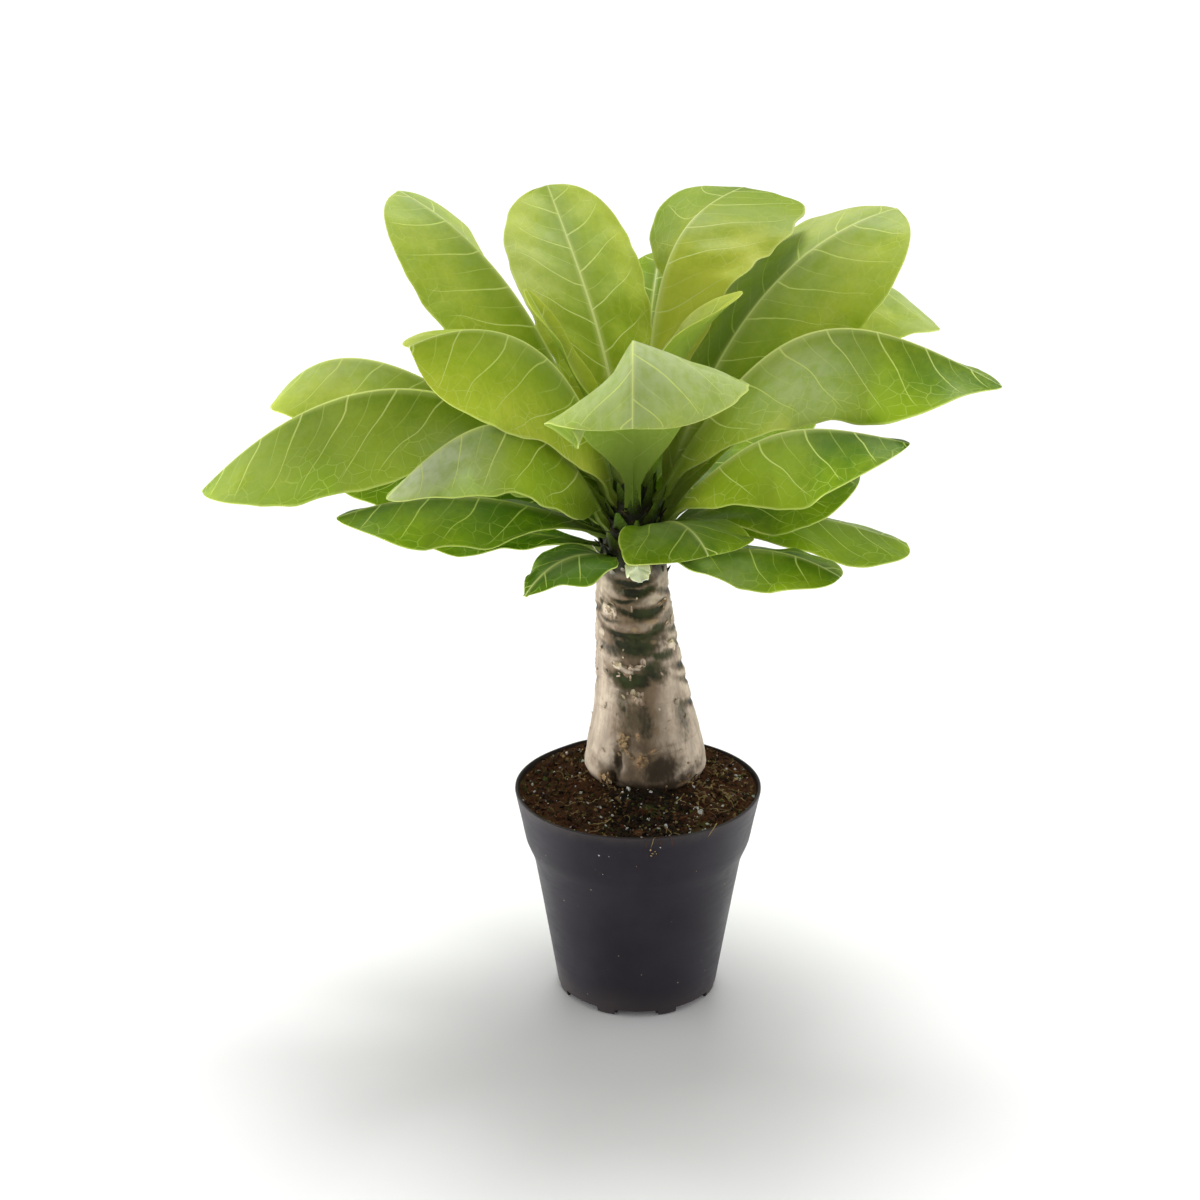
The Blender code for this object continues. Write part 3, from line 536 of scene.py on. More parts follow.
def makeLeafMaterial(name, finish, veinGroup):
    material, tree, shader = newMaterial(name, finish["mid"][:3])
    veins = placeGroup(tree, veinGroup)
    flat = veins.outputs["Flat"]
    patches = noiseOf(tree, stretched(tree, flat, (2.2, 3.5, 5.0)), 1.0, 3.0, 0.55)
    mottle = noiseOf(tree, flat, 30.0, 4.0, 0.6)
    tone = calc(tree, "ADD", veins.outputs["Tone"], calc(tree, "MULTIPLY", calc(tree, "SUBTRACT", patches, 0.5), 0.75))
    tone = calc(tree, "ADD", tone, calc(tree, "MULTIPLY", calc(tree, "SUBTRACT", mottle, 0.5), 0.28))
    tone = calc(tree, "ADD", tone, calc(tree, "MULTIPLY", calc(tree, "SUBTRACT", veins.outputs["Reach"], 0.45), 0.16))
    lower = mixColours(tree, stepUp(tree, tone, 0.0, 0.5), finish["dark"], finish["mid"])
    green = mixColours(tree, stepUp(tree, tone, 0.45, 1.0), lower, finish["bright"])
    # painted sheen: whitish patches mixed into the colour where the top faces would catch a reflection of the light,
    # faint underneath
    paintedSheen = put(tree, "ShaderNodeAttribute", attribute_name="bladeSheenAndPale").outputs["Vector"]
    paintedSheen, pale, _ = put(tree, "ShaderNodeSeparateXYZ", {0: paintedSheen}).outputs
    hazy = noiseOf(tree, stretched(tree, flat, (9.0, 14.0, 4.0)), 1.0, 4.0, 0.6)
    paintedSheen = calc(tree, "MULTIPLY", paintedSheen, stepUp(tree, hazy, 0.30, 0.62, 0.55 * finish["sheenShare"],
                 finish["sheenShare"]), clamp=True)
    green = mixColours(tree, paintedSheen, green, finish["paintedSheen"])
    green = mixColours(tree, calc(tree, "MULTIPLY", veins.outputs["Net"], 0.42), green, finish["vein"])
    green = mixColours(tree, calc(tree, "MULTIPLY", veins.outputs["Veins"], finish["veinShare"]), green, finish["vein"])
    green = mixColours(tree, calc(tree, "MULTIPLY", veins.outputs["Margin"], 0.6), green, finish["vein"])
    ribShare = stepUp(tree, veins.outputs["Share"], 0.06, 0.34, 0.12, 0.9)
    green = mixColours(tree, calc(tree, "MULTIPLY", veins.outputs["Midrib"], ribShare), green, finish["rib"])
    # painted shade: the blade darkens towards its root, where the crown shades it
    root = stepUp(tree, veins.outputs["Share"], 0.02, 0.24, finish["rootShade"], 0.0)
    green = mixColours(tree, root, green, finish["root"])
    green = mixColours(tree, calc(tree, "MULTIPLY", pale, stepUp(tree, hazy, 0.3, 0.7, 1.0, 0.85)), green,
                       (0.80, 0.84, 0.66, 1))
    fine = noiseOf(tree, flat, 160.0, 2.0)
    height = calc(tree, "ADD", calc(tree, "MULTIPLY", veins.outputs["Veins"], -0.35),
                  calc(tree, "MULTIPLY", veins.outputs["Net"], -0.18))
    height = calc(tree, "ADD", height, calc(tree, "MULTIPLY", fine, 0.10))
    height = calc(tree, "ADD", height, calc(tree, "MULTIPLY", mottle, 0.35))
    height = calc(tree, "MULTIPLY", height, calc(tree, "SUBTRACT", 1.0, pale))
    rough = calc(tree, "ADD", finish["roughness"], calc(tree, "MULTIPLY", calc(tree, "SUBTRACT", patches, 0.5), 0.22))
    wire(tree, shader, Base_Color=green, Roughness=rough, Normal=bumpOf(tree, height, 0.5, 0.5 * mm),
         Subsurface_Weight=0.35, Subsurface_Scale=0.003, Subsurface_Radius=(0.8, 1.0, 0.2),
         Specular_IOR_Level=0.12)
    return material


def makeLeaves():
    veinGroup = makeVeinGroup()
    top = makeLeafMaterial("leafTop", leafFinish["top"], veinGroup)
    under = makeLeafMaterial("leafUnder", leafFinish["under"], veinGroup)
    for leaf in leafTable:
        makeBlade(leaf, (top, under))
    print("leaves:", len(leafTable), "blades with veins")


makeLeaves()


# ---- the trunk
trunkSet = {
    "around": 200, "step": 0.9, "stubRadius": 26.0, "stubFoot": 86.0, "leanFrom": 125.0, "leanOver": 105.0,
    "bulgeHeight": 118.0, "bulgeSpread": 22.0, "bulges": 3, "bulgeLift": 0.6,
    "cleftTurn": 241.0, "cleftWidth": 0.14, "cleftDepth": 3.8, "grain": 0.22,
    # swellings of the foot: turn, height, spread in degrees and in height, lift
    "lobes": ((208.0, 128.0, 20.0, 12.0, 1.5), (-20.0, 126.0, 20.0, 11.0, 1.3), (-84.0, 121.0, 13.0, 8.0, 0.9)),
    # how strongly the middle column shows at each height: partly the bark's own brown and partly painted shade down the
    # front of the trunk
    "brownAndShadeAt": ((112.0, 1.1), (124.0, 1.0), (136.0, 0.75), (150.0, 1.0), (182.0, 1.05), (204.0, 0.8), (232.0, 0.7)),
}

# Marks of the bark: turn in degrees round the trunk, height, half width and half height in millimetres,
# how far the mark stands out, and how dark, pale and tan it is
barkMarks = [
    # below the crown: a dark line of painted shadow under the crown, a pale scar on the left, a brown one on the right
    # and the wedge between
    (-93, 228.5, 10.0, 2.0, -0.9, 1.0, 0.0, 0.0), (-113, 223.0, 6.8, 4.2, 0.8, 0.0, 0.45, 0.1),
    (-104, 218.9, 6.5, 1.2, -0.8, 0.95, 0.0, 0.0), (-86, 223.8, 7.5, 2.3, -0.7, 0.95, 0.0, 0.0),
    (-64, 219.0, 9.0, 4.6, 0.7, 0.0, 0.25, 0.35), (-61, 225.2, 2.4, 1.4, -0.7, 1.0, 0.0, 0.1),
    (-147, 216.0, 1.6, 1.4, -0.4, 0.8, 0.0, 0.0), (-36, 217.5, 3.6, 1.1, -0.5, 0.5, 0.0, 0.5),
    (-30, 225.0, 6.0, 3.4, 0.3, 0.25, 0.1, 0.3),
    # the first dark band and the torn knot at its left
    (-78, 212.8, 12.5, 2.5, -0.9, 1.0, 0.0, 0.0), (-130, 207.6, 6.5, 1.4, -0.4, 0.6, 0.0, 0.0),
    (-24, 207.5, 6.0, 3.6, -0.2, 0.5, 0.0, 0.0), (-131, 213.2, 5.0, 3.4, 0.8, 0.0, 0.95, 0.2),
    (-126, 212.3, 1.9, 2.0, -0.4, 0.35, 0.0, 0.9), (-118, 212.0, 1.0, 2.6, 0.4, 0.0, 0.9, 0.2),
    # the broad scar like a smile, with its dark lower edge
    (-92, 205.6, 16.0, 3.9, 0.9, 0.0, 0.35, 0.35), (-89, 204.6, 1.8, 1.7, -0.3, 0.45, 0.0, 1.0),
    (-64, 208.0, 4.2, 1.3, 0.1, 0.15, 0.0, 1.0), (-94, 200.9, 16.0, 1.9, -1.0, 1.0, 0.0, 0.0),
    (-52, 203.6, 5.0, 2.8, -0.4, 0.65, 0.0, 0.0), (-148, 199.5, 3.5, 2.6, 0.2, 0.0, 0.7, 0.2),
    # the second dark band, soft and as wide as the trunk
    (-93, 194.6, 12.0, 4.6, -0.5, 1.0, 0.0, 0.0), (-124, 192.6, 9.0, 3.4, -0.2, 0.55, 0.0, 0.0),
    (-48, 188.8, 11.0, 2.6, -0.3, 0.65, 0.0, 0.0), (-63, 196.5, 3.0, 1.8, 0.1, 0.35, 0.0, 0.7),
    (-32, 193.0, 3.6, 2.8, 0.8, 0.0, 1.0, 0.0), (-26, 190.5, 1.8, 2.0, 0.6, 0.0, 1.0, 0.0),
    # pale tears, and green-black below them
    (-119, 184.0, 4.4, 2.1, 0.8, 0.0, 0.85, 0.2), (-104, 181.6, 4.6, 2.2, 0.7, 0.05, 0.7, 0.4),
    (-92, 183.4, 3.8, 1.5, 0.8, 0.0, 0.85, 0.3), (-82, 186.6, 1.6, 2.6, 0.6, 0.0, 0.8, 0.2),
    (-95, 176.4, 10.5, 4.6, -0.7, 1.0, 0.0, 0.0), (-121, 177.6, 5.5, 2.2, -0.4, 0.75, 0.0, 0.0),
    (-72, 180.4, 6.5, 5.6, -0.3, 0.72, 0.0, 0.1), (-94, 167.8, 4.2, 5.0, 0.6, 0.0, 0.6, 0.75),
    (-96, 168.4, 1.5, 2.0, -0.5, 0.3, 0.0, 1.0), (-88, 166.4, 1.1, 2.6, -0.4, 0.3, 0.0, 1.0),
    # the right spot, the middle column and the foot
    (-38, 154.5, 4.6, 10.0, -0.1, 0.42, 0.0, 0.1), (-43, 162.4, 2.4, 1.8, 0.2, 0.0, 0.8, 0.1),
    (-88, 155.0, 4.2, 13.0, -0.2, 0.50, 0.0, 0.0), (-112, 160.0, 0.9, 2.6, -0.4, 0.7, 0.0, 0.0),
    (-104, 158.0, 8.0, 15.0, -0.1, 0.30, 0.0, 0.0), (-114, 143.0, 2.8, 6.0, 0.5, 0.0, 0.3, 1.0),
    (-97, 146.5, 1.5, 2.8, 0.3, 0.0, 0.6, 0.3), (-95, 134.5, 4.4, 5.6, 0.4, 0.25, 0.1, 0.8),
    (-83, 138.6, 5.0, 1.0, 0.5, 0.0, 0.3, 0.7), (-76, 129.0, 8.6, 8.4, -0.3, 0.72, 0.0, 0.25),
    (-120, 131.0, 2.0, 7.0, -0.9, 0.95, 0.0, 0.2), (-127, 121.5, 2.2, 4.0, -0.5, 0.9, 0.0, 0.3),
    (-136, 120.5, 4.6, 3.0, 0.7, 0.0, 0.25, 1.0), (-85, 119.5, 22.0, 4.2, 0.0, 0.75, 0.0, 0.3),
    (-52, 118.0, 5.0, 2.6, 0.3, 0.1, 0.1, 0.9), (-30, 117.0, 10.0, 3.0, 0.0, 0.35, 0.0, 0.5),
    (-156, 116.0, 12.0, 3.0, 0.0, 0.35, 0.0, 0.4),
]


def sideAndBackMarks():
    # scars of fallen leaves go on round the sides and the back, in rising rows
    draw = random.Random(11)
    marks = []
    for level in range(7):
        height = 163.0 + 10.5 * level
        for place in range(3):
            turn = 2.0 + 68.0 * place + 29.0 * (level % 2) + draw.uniform(-7, 7)
            if turn > 172.0:
                continue
            wide = draw.uniform(9.0, 14.0)
            marks.append((turn, height, wide, draw.uniform(3.0, 4.4), 0.5, 0.0, draw.uniform(0.3, 0.6), 0.1))
            marks.append((turn, height - 5.2, wide, 1.9, -0.5, draw.uniform(0.6, 1.0), 0.0, 0.0))
    for _ in range(5):
        marks.append((draw.uniform(10, 170), draw.uniform(130, 160), draw.uniform(4, 9), draw.uniform(6, 12),
                      -0.1, draw.uniform(0.3, 0.6), 0.0, 0.1))
    return marks


def trunkMiddle(height):
    share = min(1.0, max(0.0, (height - trunkSet["leanFrom"]) / trunkSet["leanOver"]))
    return trunkFoot.lerp(crownSpot, share * share * (3.0 - 2.0 * share))


def markAway(mark, turn, height, radius, wobble):
    across = math.remainder(turn - math.radians(mark[0]), fullTurn) * radius / mark[2]
    if abs(across) > 2.8:
        return 9.0
    # a scar is a lens whose ends rise round the trunk
    bowed = mark[1] + 0.17 * mark[2] * (across**2 - 0.3) * (1.0 if mark[2] > 2.2 * mark[3] else 0.0)
    upward = (height - bowed) / mark[3]
    return math.sqrt(across**2 + upward**2) + wobble


def makeTrunk():
    marks = barkMarks + sideAndBackMarks()
    outline = [(0.0, trunkSet["stubFoot"]), (trunkSet["stubRadius"], trunkSet["stubFoot"]),
               (trunkSet["stubRadius"], 100.0)]
    count = int((279.0 - 112.0) / trunkSet["step"])
    for i in range(count + 1):
        height = 112.0 + i * (279.4 - 112.0) / count
        outline.append((max(0.6, alongTable(trunkOutline, height)), height))
    outline.append((0.0, 279.9))
    piece = spinOutline("trunkBark", outline, trunkSet["around"])
    stain, brownAndShade = [], []
    for vert in piece.data.vertices:
        height = vert.co.z / mm
        radius = math.hypot(vert.co.x, vert.co.y) / mm
        turn = math.atan2(vert.co.y, vert.co.x)
        middle = trunkMiddle(height)
        dark = pale = tan = brown = 0.0
        if height > 111.0 and radius > 0.3:
            spot = Vector((math.cos(turn) * radius, math.sin(turn) * radius, height))
            wobble = 0.34 * noise.noise(spot / 2.2) + 0.30 * noise.noise(spot / 6.0)
            lift = 0.0
            for mark in marks:
                if abs(height - mark[1]) > mark[3] * 2.8 + 0.5 * mark[2]:
                    continue
                away = markAway(mark, turn, height, radius, wobble)
                share = 1.0 - ease(0.25, 1.6, away)
                brown = max(brown, 1.0 * mark[5] * (1.0 - ease(0.7, 2.7, away)))
                if share > 0.0:
                    lift += mark[4] * (1.0 - ease(0.6, 1.3, away))
                    dark = max(dark * (1.0 - 0.8 * share * (mark[6] > 0.4)), mark[5] * share)
                    pale = max(pale, mark[6] * share)
                    tan = max(tan, mark[7] * share)
            # the middle column down the front is partly the bark's brown and partly painted shade, darkest where the
            # trunk faces the front
            front = math.remainder(turn + math.radians(95.0 - 9.0 * noise.noise(spot / 12.0)), fullTurn)
            column = alongTable(trunkSet["brownAndShadeAt"], height) * (1.0 + 0.5 * noise.noise(spot / 6.0))
            brown = max(brown, column * math.exp(-(front / math.radians(30.0)) ** 2))
            fade = math.exp(-((height - trunkSet["bulgeHeight"]) / trunkSet["bulgeSpread"]) ** 2)
            cleft = trunkSet["cleftTurn"] + 0.8 * (height - 133.0) + 6.0 * noise.noise(spot / 9.0)
            away = math.remainder(turn - math.radians(cleft), fullTurn)
            lift -= trunkSet["cleftDepth"] * fade * math.exp(-(away / trunkSet["cleftWidth"]) ** 2)
            for lobeTurn, lobeHeight, lobeWide, lobeTall, lobeLift in trunkSet["lobes"]:
                aside = math.degrees(math.remainder(turn - math.radians(lobeTurn), fullTurn)) / lobeWide
                lift += lobeLift * math.exp(-aside**2 - ((height - lobeHeight) / lobeTall) ** 2)
            brown = max(brown, 0.8 * fade * math.exp(-(away / 0.2) ** 2))
            lift -= trunkSet["bulgeLift"] * fade * math.cos(trunkSet["bulges"] * turn + 0.6)
            streak = Vector((spot.x, spot.y, spot.z * 0.22))
            lift += trunkSet["grain"] * (noise.noise(streak / 3.0) + 0.6 * noise.noise(spot / 1.7))
            lift += 0.5 * noise.noise(spot / 11.0)
            lift -= 0.35 * max(0.0, math.sin(height * 0.62 + 1.6 * noise.noise(spot / 14.0))) ** 6 \
                * ease(150, 175, height)
            radius += lift * ease(0.0, 4.0, radius)
        vert.co.x = middle.x + radius * math.cos(turn) * mm
        vert.co.y = middle.y + radius * math.sin(turn) * mm
        stain.append((dark, pale, tan))
        brownAndShade.append((min(1.0, brown), 0.0, 0.0))
    storeVectors(piece.data, "barkStain", stain)
    storeVectors(piece.data, "barkBrownAndShade", brownAndShade)
    piece.data.materials.append(makeBarkMaterial())
    smoothBy(piece, 70.0)
    return settle(piece, "trunk_bark", "trunk")


barkFinish = {
    "base": (0.53, 0.435, 0.33, 1), "grey": (0.30, 0.24, 0.18, 1), "cream": (0.74, 0.63, 0.49, 1),
    "stain": (0.010, 0.012, 0.004, 1), "green": (0.032, 0.040, 0.012, 1), "tan": (0.40, 0.275, 0.150, 1),
    "brown": (0.165, 0.112, 0.064, 1), "deep": (0.066, 0.043, 0.023, 1),
    # crown is the colour of the painted shadow under the crown
    "soiled": (0.036, 0.025, 0.014, 1), "foot": (0.055, 0.036, 0.022, 1), "crown": (0.010, 0.013, 0.006, 1),
}


def makeBarkMaterial():
    material, tree, shader = newMaterial("bark", (0.44, 0.36, 0.27))
    place = objectPlace(tree)
    stain = put(tree, "ShaderNodeAttribute", attribute_name="barkStain").outputs["Vector"]
    dark, pale, tan = put(tree, "ShaderNodeSeparateXYZ", {0: stain}).outputs
    streak = noiseOf(tree, stretched(tree, place, (150.0, 150.0, 24.0)), 1.0, 4.0, 0.6)
    cloud = noiseOf(tree, place, 45.0, 4.0, 0.6)
    fine = noiseOf(tree, stretched(tree, place, (700.0, 700.0, 380.0)), 1.0, 3.0, 0.6)
    # creases run round the bark, a little uneven
    ring = noiseOf(tree, stretched(tree, place, (14.0, 14.0, 420.0)), 1.0, 3.0, 0.6)
    colour = mixColours(tree, stepUp(tree, streak, 0.32, 0.68), barkFinish["grey"], barkFinish["base"])
    colour = mixColours(tree, stepUp(tree, cloud, 0.50, 0.74, 0.0, 0.75), colour, barkFinish["cream"])
    colour = mixColours(tree, stepUp(tree, ring, 0.56, 0.74, 0.0, 0.45), colour, barkFinish["grey"])
    colour = mixColours(tree, stepUp(tree, fine, 0.60, 0.78, 0.0, 0.5), colour, barkFinish["grey"])
    broken = calc(tree, "MULTIPLY", calc(tree, "SUBTRACT", streak, 0.5), 0.6)
    broken = calc(tree, "ADD", broken, calc(tree, "MULTIPLY", calc(tree, "SUBTRACT", fine, 0.5), 0.45))
    brownAndShade = put(tree, "ShaderNodeAttribute", attribute_name="barkBrownAndShade").outputs["Vector"]
    brownAndShade = put(tree, "ShaderNodeSeparateXYZ", {0: brownAndShade}).outputs[0]
    soft = calc(tree, "ADD", brownAndShade, calc(tree, "MULTIPLY", broken, 0.8))
    # the bark's brown and the painted shade down the front share these two colours
    umberAndShade = mixColours(tree, stepUp(tree, cloud, 0.42, 0.62), barkFinish["brown"], barkFinish["deep"])
    colour = mixColours(tree, stepUp(tree, soft, 0.06, 0.85, 0.0, 0.93), colour, umberAndShade)

    def edged(value, low, high):
        return stepUp(tree, calc(tree, "ADD", value, broken), low, high)
    height = put(tree, "ShaderNodeSeparateXYZ", {0: place}).outputs[2]
    green = mixColours(tree, stepUp(tree, cloud, 0.42, 0.6), barkFinish["stain"], barkFinish["green"])
    green = mixColours(tree, stepUp(tree, height, 0.138, 0.150, 1.0, 0.0), green, barkFinish["soiled"])
    colour = mixColours(tree, calc(tree, "MULTIPLY", edged(dark, 0.0, 0.74), 0.985), colour, green)
    colour = mixColours(tree, calc(tree, "MULTIPLY", edged(pale, 0.35, 0.9), 0.75), colour, barkFinish["cream"])
    colour = mixColours(tree, calc(tree, "MULTIPLY", edged(tan, 0.3, 0.95), 0.6), colour, barkFinish["tan"])
    wet = stepUp(tree, calc(tree, "ADD", height, calc(tree, "MULTIPLY", cloud, 0.010)), 0.117, 0.130, 0.88, 0.0)
    colour = mixColours(tree, wet, colour, barkFinish["foot"])
    # painted shadow: the bark turns near black just under the crown, where the leaves shade it
    crown = stepUp(tree, calc(tree, "ADD", height, calc(tree, "MULTIPLY", cloud, 0.014)), 0.232, 0.246, 0.0, 0.96)
    colour = mixColours(tree, crown, colour, barkFinish["crown"])
    rise = calc(tree, "ADD", calc(tree, "MULTIPLY", streak, 0.6), calc(tree, "MULTIPLY", fine, 0.35))
    rise = calc(tree, "ADD", rise, calc(tree, "MULTIPLY", ring, 0.5))
    wire(tree, shader, Base_Color=colour, Roughness=stepUp(tree, cloud, 0.3, 0.7, 0.52, 0.74),
         Normal=bumpOf(tree, rise, 0.55, 0.6 * mm), Specular_IOR_Level=0.16)
    return material


trunkBark = makeTrunk()
print("trunk: bark with", len(barkMarks), "marks in front")


# ---- many small chips, fibres and flakes gathered in one piece
class Litter:
    def __init__(self, name):
        self.name, self.points, self.faces, self.colours = name, [], [], []

    def add(self, points, faces, colour):
        first = len(self.points)
        self.points.extend(points)
        self.faces.extend([tuple(first + i for i in face) for face in faces])
        self.colours.extend(colour if isinstance(colour, list) else [colour] * len(points))

    def finish(self, material, slotName):
        mesh = bpy.data.meshes.new(self.name)
        mesh.from_pydata([tuple(point) for point in self.points], [], self.faces)
        storeVectors(mesh, "litterColour", self.colours)
        mesh.materials.append(material)
        piece = bpy.data.objects.new(self.name, mesh)
        bpy.context.scene.collection.objects.link(piece)
        pick(piece)
        bpy.ops.object.mode_set(mode="EDIT")
        bpy.ops.mesh.select_all(action="SELECT")
        bpy.ops.mesh.normals_make_consistent(inside=False)
        bpy.ops.object.mode_set(mode="OBJECT")
        smoothBy(piece, 50.0)
        print(self.name + ":", len(self.faces), "faces")
        return settle(piece, slotName)


# One rough grain, modelled once from a ball and copied with its own turn and stretch
def modelGrain(subdivisions, roughness, seed):
    clearSelection()
    bpy.ops.mesh.primitive_ico_sphere_add(subdivisions=subdivisions, radius=1.0)
    ball = bpy.context.object
    points = []
    for vert in ball.data.vertices:
        points.append(vert.co * (1.0 + roughness * noise.noise(vert.co * 1.3 + Vector((seed, 0, 0)))))
    faces = [tuple(face.vertices) for face in ball.data.polygons]
    bpy.data.objects.remove(ball, do_unlink=True)
    return points, faces


def dropGrain(litter, grain, place, size, draw, colour, flat=0.6):
    turn = Matrix.Rotation(draw.uniform(0, fullTurn), 3, Vector((draw.gauss(0, 1), draw.gauss(0, 1), draw.gauss(0, 1))))
    stretch = Vector((1.0, draw.uniform(0.6, 1.0), draw.uniform(flat * 0.7, flat)))
    points = [place + turn @ Vector((p.x * stretch.x, p.y * stretch.y, p.z * stretch.z)) * size for p in grain[0]]
    litter.add(points, grain[1], colour)


# A thin three-sided thread along some points
def layFibre(litter, points, radius, colour):
    ring, faces = [], []
    for i, point in enumerate(points):
        ahead = points[min(i + 1, len(points) - 1)] - points[max(i - 1, 0)]
        side = ahead.cross(Vector((0.13, 0.21, 0.97))).normalized()
        top = side.cross(ahead).normalized()
        thin = radius * (0.35 if i in (0, len(points) - 1) else 1.0)
        for k in range(3):
            angle = fullTurn * k / 3
            ring.append(point + (side * math.cos(angle) + top * math.sin(angle)) * thin)
    for i in range(len(points) - 1):
        for k in range(3):
            a, b = 3 * i + k, 3 * i + (k + 1) % 3
            faces.append((a, b, b + 3, a + 3))
    last = 3 * (len(points) - 1)
    faces.extend([(2, 1, 0), (last, last + 1, last + 2)])
    litter.add(ring, faces, colour)


# A thin bent scale: rows of (place, half width direction, thickness direction, how far its sides bend back)
def layScale(litter, rows, colours):
    points, faces, tints = [], [], []
    ring = (-1.0, -0.55, 0.0, 0.55, 1.0)
    for i, (place, side, thick, cup) in enumerate(rows):
        points.extend([place + side * u + thick * (1.0 - 0.7 * abs(u)) - cup * u * u for u in ring])
        points.extend([place + side * u - thick * (1.0 - 0.7 * abs(u)) - cup * u * u for u in reversed(ring)])
        share = i / (len(rows) - 1)
        tints.extend([tuple(blend(a, b, share) for a, b in zip(*colours))] * 10)
    for i in range(len(rows) - 1):
        for k in range(10):
            a, b = 10 * i + k, 10 * i + (k + 1) % 10
            faces.append((a, b, b + 10, a + 10))
    last = 10 * (len(rows) - 1)
    faces.extend([tuple(reversed(range(10))), tuple(last + k for k in range(10))])
    litter.add(points, faces, tints)


def shade(colour, draw, spread=0.25):
    lightness = draw.uniform(1.0 - spread, 1.0 + spread)
    return tuple(min(1.0, c * lightness * draw.uniform(0.92, 1.08)) for c in colour)


def makeLitterMaterial(name, roughness, bump):
    material, tree, shader = newMaterial(name, (0.3, 0.25, 0.2))
    place = objectPlace(tree)
    own = put(tree, "ShaderNodeAttribute", attribute_name="litterColour").outputs["Color"]
    fine = noiseOf(tree, place, 900.0, 3.0, 0.6)
    colour = mixColours(tree, stepUp(tree, fine, 0.3, 0.7, 0.55, 0.0), own, (0.03, 0.02, 0.012, 1), "MULTIPLY")
    wire(tree, shader, Base_Color=colour, Roughness=stepUp(tree, fine, 0.2, 0.8, roughness - 0.1, roughness + 0.1),
         Normal=bumpOf(tree, fine, bump, 0.3 * mm), Specular_IOR_Level=0.15)
    return material


# ---- the soil
soilSet = {
    "topRadius": 62.6, "atTrunk": 116.6, "atWall": 112.3, "fall": 34.0, "mound": 3.4, "lump": 1.7, "step": 0.85, "around": 240,
    "crumbs": 2700, "perlite": 190, "fibres": 150, "chips": 260, "straws": 55,
}
soilColours = {"peat": (0.030, 0.017, 0.010), "brown": (0.085, 0.042, 0.020), "red": (0.13, 0.050, 0.022),
               "tan": (0.33, 0.22, 0.10), "straw": (0.46, 0.34, 0.16), "moss": (0.095, 0.11, 0.028),
               "black": (0.012, 0.009, 0.007)}


def soilAt(x, y):
    away = math.hypot(x - trunkFoot.x / mm, y - trunkFoot.y / mm)
    share = min(1.0, max(0.0, (away - 28.0) / soilSet["fall"]))
    spot = Vector((x, y, 3.0))
    lumps = noise.noise(spot / 9.0) + 0.55 * noise.noise(spot / 4.2) + 0.32 * noise.noise(spot / 1.9)
    lumps += 0.22 * abs(noise.noise(spot / 1.1))
    heaped = soilSet["mound"] * math.exp(-((x - 5.0) / 11.0) ** 2 - ((y + 14.0) / 6.0) ** 2)
    calm = 1.0 - 0.75 * ease(57.0, 62.0, math.hypot(x, y))
    level = blend(soilSet["atTrunk"], soilSet["atWall"], share) + heaped
    return level + soilSet["lump"] * lumps * min(1.0, 0.3 + share * 4.0) * calm


def makeSoil():
    rings = int(soilSet["topRadius"] / soilSet["step"])
    outline = [(soilSet["topRadius"] * i / rings, 107.0) for i in range(rings + 1)]
    outline += [(61.9, 106.0), (58.0, 86.8), (52.8, 77.8), (41.2, 5.7), (0.0, 5.7)]
    piece = spinOutline("peatBed", outline, soilSet["around"])
    for vert in piece.data.vertices:
        if vert.co.z > 106.9 * mm:
            vert.co.z = soilAt(vert.co.x / mm, vert.co.y / mm) * mm
    material, tree, shader = newMaterial("peat", (0.045, 0.028, 0.018))
    place = objectPlace(tree)
    coarse = noiseOf(tree, place, 110.0, 4.0, 0.65)
    fine = noiseOf(tree, place, 520.0, 3.0, 0.65)
    colour = mixColours(tree, stepUp(tree, coarse, 0.38, 0.62), (*soilColours["black"], 1), (*soilColours["peat"], 1))
    colour = mixColours(tree, stepUp(tree, fine, 0.52, 0.72, 0.0, 0.8), colour, (*soilColours["brown"], 1))
    # black and damp in front of the trunk, redder and drier on both sides
    across = put(tree, "ShaderNodeSeparateXYZ", {0: place}).outputs[0]
    aside = calc(tree, "ABSOLUTE", calc(tree, "SUBTRACT", across, 0.004))
    aside = calc(tree, "ADD", aside, calc(tree, "MULTIPLY", calc(tree, "SUBTRACT", coarse, 0.5), 0.02))
    colour = mixColours(tree, stepUp(tree, aside, 0.013, 0.030, 0.0, 0.6), colour, (*soilColours["red"], 1))
    moss = noiseOf(tree, place, 60.0, 3.0, 0.6)
    colour = mixColours(tree, stepUp(tree, moss, 0.58, 0.7, 0.0, 0.45), colour, (*soilColours["moss"], 1))
    height = calc(tree, "ADD", coarse, calc(tree, "MULTIPLY", fine, 0.6))
    wire(tree, shader, Base_Color=colour, Roughness=stepUp(tree, fine, 0.3, 0.7, 0.72, 0.97),
         Normal=bumpOf(tree, height, 0.9, 1.2 * mm), Specular_IOR_Level=0.12)
    piece.data.materials.append(material)
    smoothBy(piece, 60.0)
    settle(piece, "soil_peat", "soil")


# A free spot on the soil, clear of the trunk and of the pot's wall
def soilSpot(draw, reach=61.6, clear=29.0):
    while True:
        x, y = draw.uniform(-reach, reach), draw.uniform(-reach, reach)
        if math.hypot(x, y) < reach and math.hypot(x - trunkFoot.x / mm, y - trunkFoot.y / mm) > clear:
            return x, y


def onSoil(x, y, lift):
    return Vector((x, y, soilAt(x, y) + lift)) * mm


